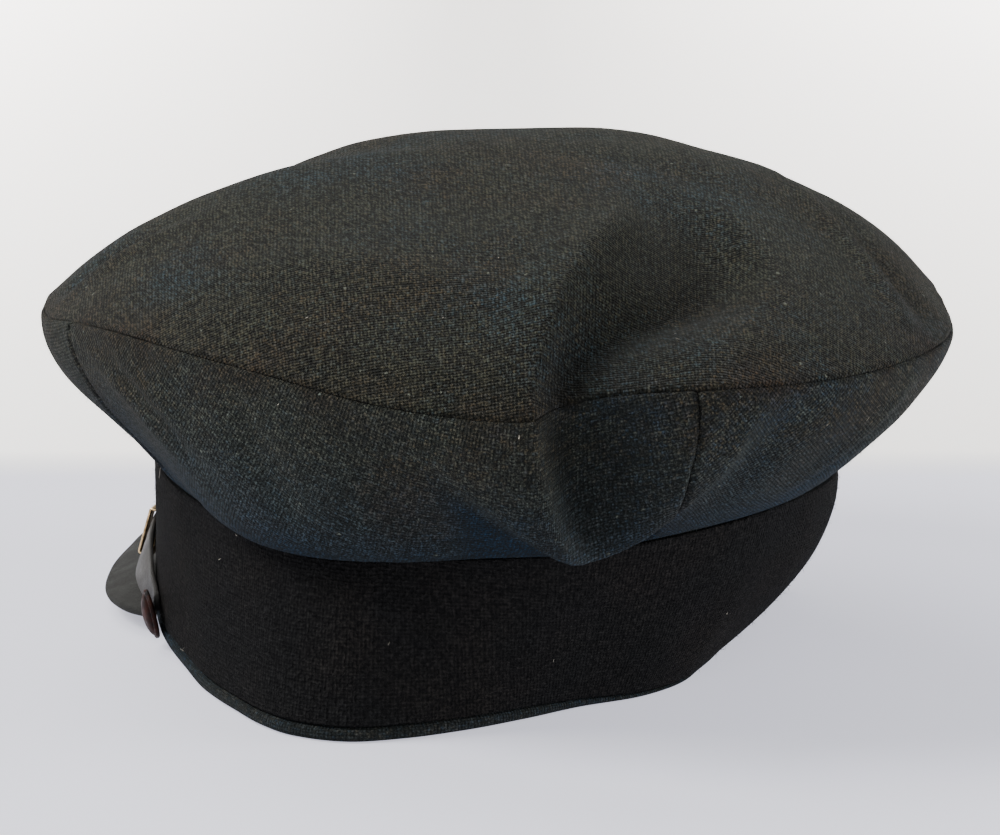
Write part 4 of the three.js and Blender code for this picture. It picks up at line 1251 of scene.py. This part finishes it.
def addWool(piece, wool, finish, seed):
    chooser = random.Random(seed)
    number = np.random.default_rng(seed)
    roots, normals = placesOn(piece, wool["count"], chooser)
    drift = unit(number.normal(size=roots.shape))
    drift = unit(drift - normals * np.sum(drift * normals, 1, keepdims=True))
    lift = number.uniform(looseWool["leastLift"], wool["lift"], len(roots))[:, None]
    lengths = number.uniform(*wool["length"], len(roots)) * mm
    radii = np.full(len(roots), wool["radius"] * mm)
    curls = number.normal(0, looseWool["curl"], len(roots))
    points, faces = threadsFrom(roots, normals * mm, unit(drift + normals * lift), lengths, radii, curls)
    addThreads(piece, points, faces, finish)


def plainMaterial(name, colour):
    material, tree, shader = freshMaterial(name, **{"Roughness": 0.9, "Specular IOR Level": 0.1})
    shade = spread(tree, cloudy(tree, objectPlace(tree), 800.0, 2.0), 0.3, 0.7, 0.5, 1.5)
    tree.links.new(vectorMath(tree, "SCALE", colour, shade), shader.inputs["Base Color"])
    return material


crownWool = plainMaterial("crownWool", (0.024, 0.025, 0.019))
quarterWool = plainMaterial("quarterWool", (0.019, 0.023, 0.025))
bandWool = plainMaterial("bandWool", (0.011, 0.0108, 0.0105))
lintFinish = plainMaterial("paleLint", (0.34, 0.31, 0.26))
addWool(crownTop, looseWool["crown"], crownWool, 51)
for index, piece in enumerate(quarters):
    addWool(piece, looseWool["quarter"], quarterWool, 61 + index)
addWool(bandCover, looseWool["band"], bandWool, 71)

# Bits of lint seen on the cap: angle, climb, reach or level, length, radius, turn, curl
lintRows = {
    "quarter": [
        (133.8, 0.885, 0.7, 0.09, 20, 0.3), (161.0, 0.926, 0.8, 0.12, 70, 0.2),
        (197.2, 0.757, 0.9, 0.07, 10, 0.5), (121.6, 0.222, 0.8, 0.09, 60, 0.4),
        (204.8, 0.730, 6.0, 0.035, 30, 0.9), (206.5, 0.80, 4.5, 0.03, 200, 1.1),
        (170.2, 0.05, 1.6, 0.04, 95, 0.6),
    ],
    "top": [
        (133.6, 0.874, 0.8, 0.10, 40, 0.3), (136.6, 0.876, 0.6, 0.08, 80, 0.3),
        (182.1, 0.875, 3.4, 0.035, 15, 1.0), (182.9, 0.850, 2.6, 0.03, 120, 0.9),
        (151.6, 0.807, 0.5, 0.07, 10, 0.2), (159.2, 0.611, 0.5, 0.07, 60, 0.2),
    ],
    "band": [
        (143.9, 0.521, 1.8, 0.05, 40, 0.9), (91.0, 0.085, 3.2, 0.04, 330, 0.8),
        (92.5, 0.10, 2.2, 0.035, 20, 0.9), (110.5, 0.761, 0.8, 0.07, 20, 0.4),
        (78.0, 0.96, 2.6, 0.05, 80, 0.5), (77.0, 0.93, 2.0, 0.05, 60, 0.7),
        (168.0, 0.35, 0.7, 0.05, 60, 0.6), (205.0, 0.42, 0.8, 0.05, 10, 0.6),
    ],
}


def addLint(piece, face, flip, rows, finish):
    angle, level, length, radius, turn, curl = np.array(rows, float).T
    points = face(angle, level)
    normal = faceNormal(face, angle, level) * flip
    surface = [piece.closest_point_on_mesh(Vector((p + capShift) * mm)) for p in points]
    roots = np.array([hit[1] for hit in surface])
    sideways = unit(np.cross(up, normal))
    rise = np.cross(normal, sideways)
    turn = np.radians(turn)[:, None]
    heading = unit(sideways * np.cos(turn) + rise * np.sin(turn) + normal * looseWool["lintLift"])
    above = -normal * mm * looseWool["lintRise"]
    points, faces = threadsFrom(roots, above, heading, length * mm, radius * mm, curl)
    addThreads(piece, points, faces, finish)


addLint(crownTop, topFace, -1, lintRows["top"], lintFinish)
addLint(quarters[1], quarterFace, 1, [row for row in lintRows["quarter"] if row[0] < 180], lintFinish)
addLint(quarters[2], quarterFace, 1, [row for row in lintRows["quarter"] if row[0] > 180], lintFinish)
addLint(bandCover, bandFace, 1, lintRows["band"], lintFinish)
print("wool and lint laid on")


# Table, backdrop, light and camera
studio = {
    "floorSize": 8.0,
    "azimuth": 158.5, "elevation": 12.5, "distance": 1.2, "target": (-0.0001, 0.0126, 0.058),
    "focalPixels": 4644.0, "imageWidth": 1000.0, "sensor": 36.0,
    "world": (0.99, 1.0, 1.015), "worldStrength": 0.45,
}
# The cool table passes softly into a warm, brighter backdrop behind the cap
table = {
    "tone": (0.41, 0.409, 0.455), "edge": 0.185, "softness": 0.018,
    "glow": (0.55, 0.552, 0.640),  # painted light: the sheet glows, which keeps the cap's shadow on it light
    "leftGlowShare": 0.9, "rightGlowShare": 1.35, "halfWidth": 0.2,
}
# Painted light on the backdrop: it glows more further back and towards the sides
backdrop = {
    "tone": (0.80, 0.783, 0.757), "glow": (1.0, 0.948, 0.908), "near": 0.30, "far": 1.5,
    "nearDistance": 0.2, "farDistance": 1.25, "sideGlow": 2.2, "sideFrom": 0.02, "sideTo": 0.3,
}


def direction(azimuth, elevation):
    turn, rise = math.radians(azimuth), math.radians(elevation)
    return Vector((math.sin(turn) * math.cos(rise), -math.cos(turn) * math.cos(rise), math.sin(rise)))


def pointedAt(thing, target):
    thing.rotation_euler = (Vector(target) - thing.location).to_track_quat("-Z", "Y").to_euler()


deselectAll()
bpy.ops.mesh.primitive_plane_add(size=studio["floorSize"], location=(0, 0, 0))
floor = bpy.context.object
floor.name = "floor"
floorFinish, floorTree, floorShader = freshMaterial("floorPaper", Roughness=0.8)
viewAway = -direction(studio["azimuth"], 0)
behind = vectorMath(floorTree, "DOT_PRODUCT", objectPlace(floorTree), viewAway)
across = vectorMath(floorTree, "DOT_PRODUCT", objectPlace(floorTree), viewAway.cross(Vector(up)))
aside = calc(floorTree, "ABSOLUTE", across)
isBackdrop = spread(floorTree, behind,
                    table["edge"] - table["softness"], table["edge"] + table["softness"])
floorColour = mixed(floorTree, isBackdrop, table["tone"], backdrop["tone"])
floorTree.links.new(floorColour, floorShader.inputs["Base Color"])
# Painted light: the backdrop's glow rises further back and to the sides
glow = spread(floorTree, behind, backdrop["nearDistance"], backdrop["farDistance"],
              backdrop["near"], backdrop["far"])
sideGlow = spread(floorTree, aside, backdrop["sideFrom"], backdrop["sideTo"],
                  1.0, 1.0 + backdrop["sideGlow"])
glow = times(floorTree, glow, sideGlow, isBackdrop)
# Painted light: the table's glow grows from left to right
share = spread(floorTree, across, -table["halfWidth"], table["halfWidth"],
               table["leftGlowShare"], table["rightGlowShare"])
glowColour = mixed(floorTree, isBackdrop, vectorMath(floorTree, "SCALE", table["glow"], share),
                   vectorMath(floorTree, "SCALE", backdrop["glow"], glow))
floorTree.links.new(glowColour, floorShader.inputs["Emission Color"])
floorShader.inputs["Emission Strength"].default_value = 1.0
dress(floor, floorFinish)


def softLight(name, azimuth, elevation, distance, size, power, colour):
    data = bpy.data.lights.new(name, "AREA")
    data.shape = "DISK"
    data.size = size
    data.energy = power
    data.color = colour
    light = bpy.data.objects.new(name, data)
    bpy.context.scene.collection.objects.link(light)
    light.location = Vector(studio["target"]) + direction(azimuth, elevation) * distance
    pointedAt(light, studio["target"])


softLight("keyLight", azimuth=79, elevation=43, distance=1.6, size=0.8, power=43,
          colour=(1.0, 0.995, 0.98))
softLight("backLight", azimuth=15, elevation=48, distance=1.7, size=1.3, power=30,
          colour=(1.0, 0.99, 0.98))
softLight("frontFill", azimuth=145, elevation=20, distance=2.0, size=1.4, power=15,
          colour=(0.98, 0.99, 1.0))
softLight("rightFill", azimuth=245, elevation=9, distance=1.6, size=0.9, power=37,
          colour=(0.98, 0.99, 1.0))

world = bpy.data.worlds.new("studio")
bpy.context.scene.world = world
world.use_nodes = True
sky = world.node_tree.nodes["Background"]
sky.inputs["Color"].default_value = (*studio["world"], 1)
sky.inputs["Strength"].default_value = studio["worldStrength"]

cameraData = bpy.data.cameras.new("camera")
cameraData.sensor_width = studio["sensor"]
cameraData.lens = studio["focalPixels"] * studio["sensor"] / studio["imageWidth"]
camera = bpy.data.objects.new("camera", cameraData)
bpy.context.scene.collection.objects.link(camera)
towardsCamera = direction(studio["azimuth"], studio["elevation"])
camera.location = Vector(studio["target"]) + towardsCamera * studio["distance"]
pointedAt(camera, studio["target"])
bpy.context.scene.camera = camera
print("studio made")
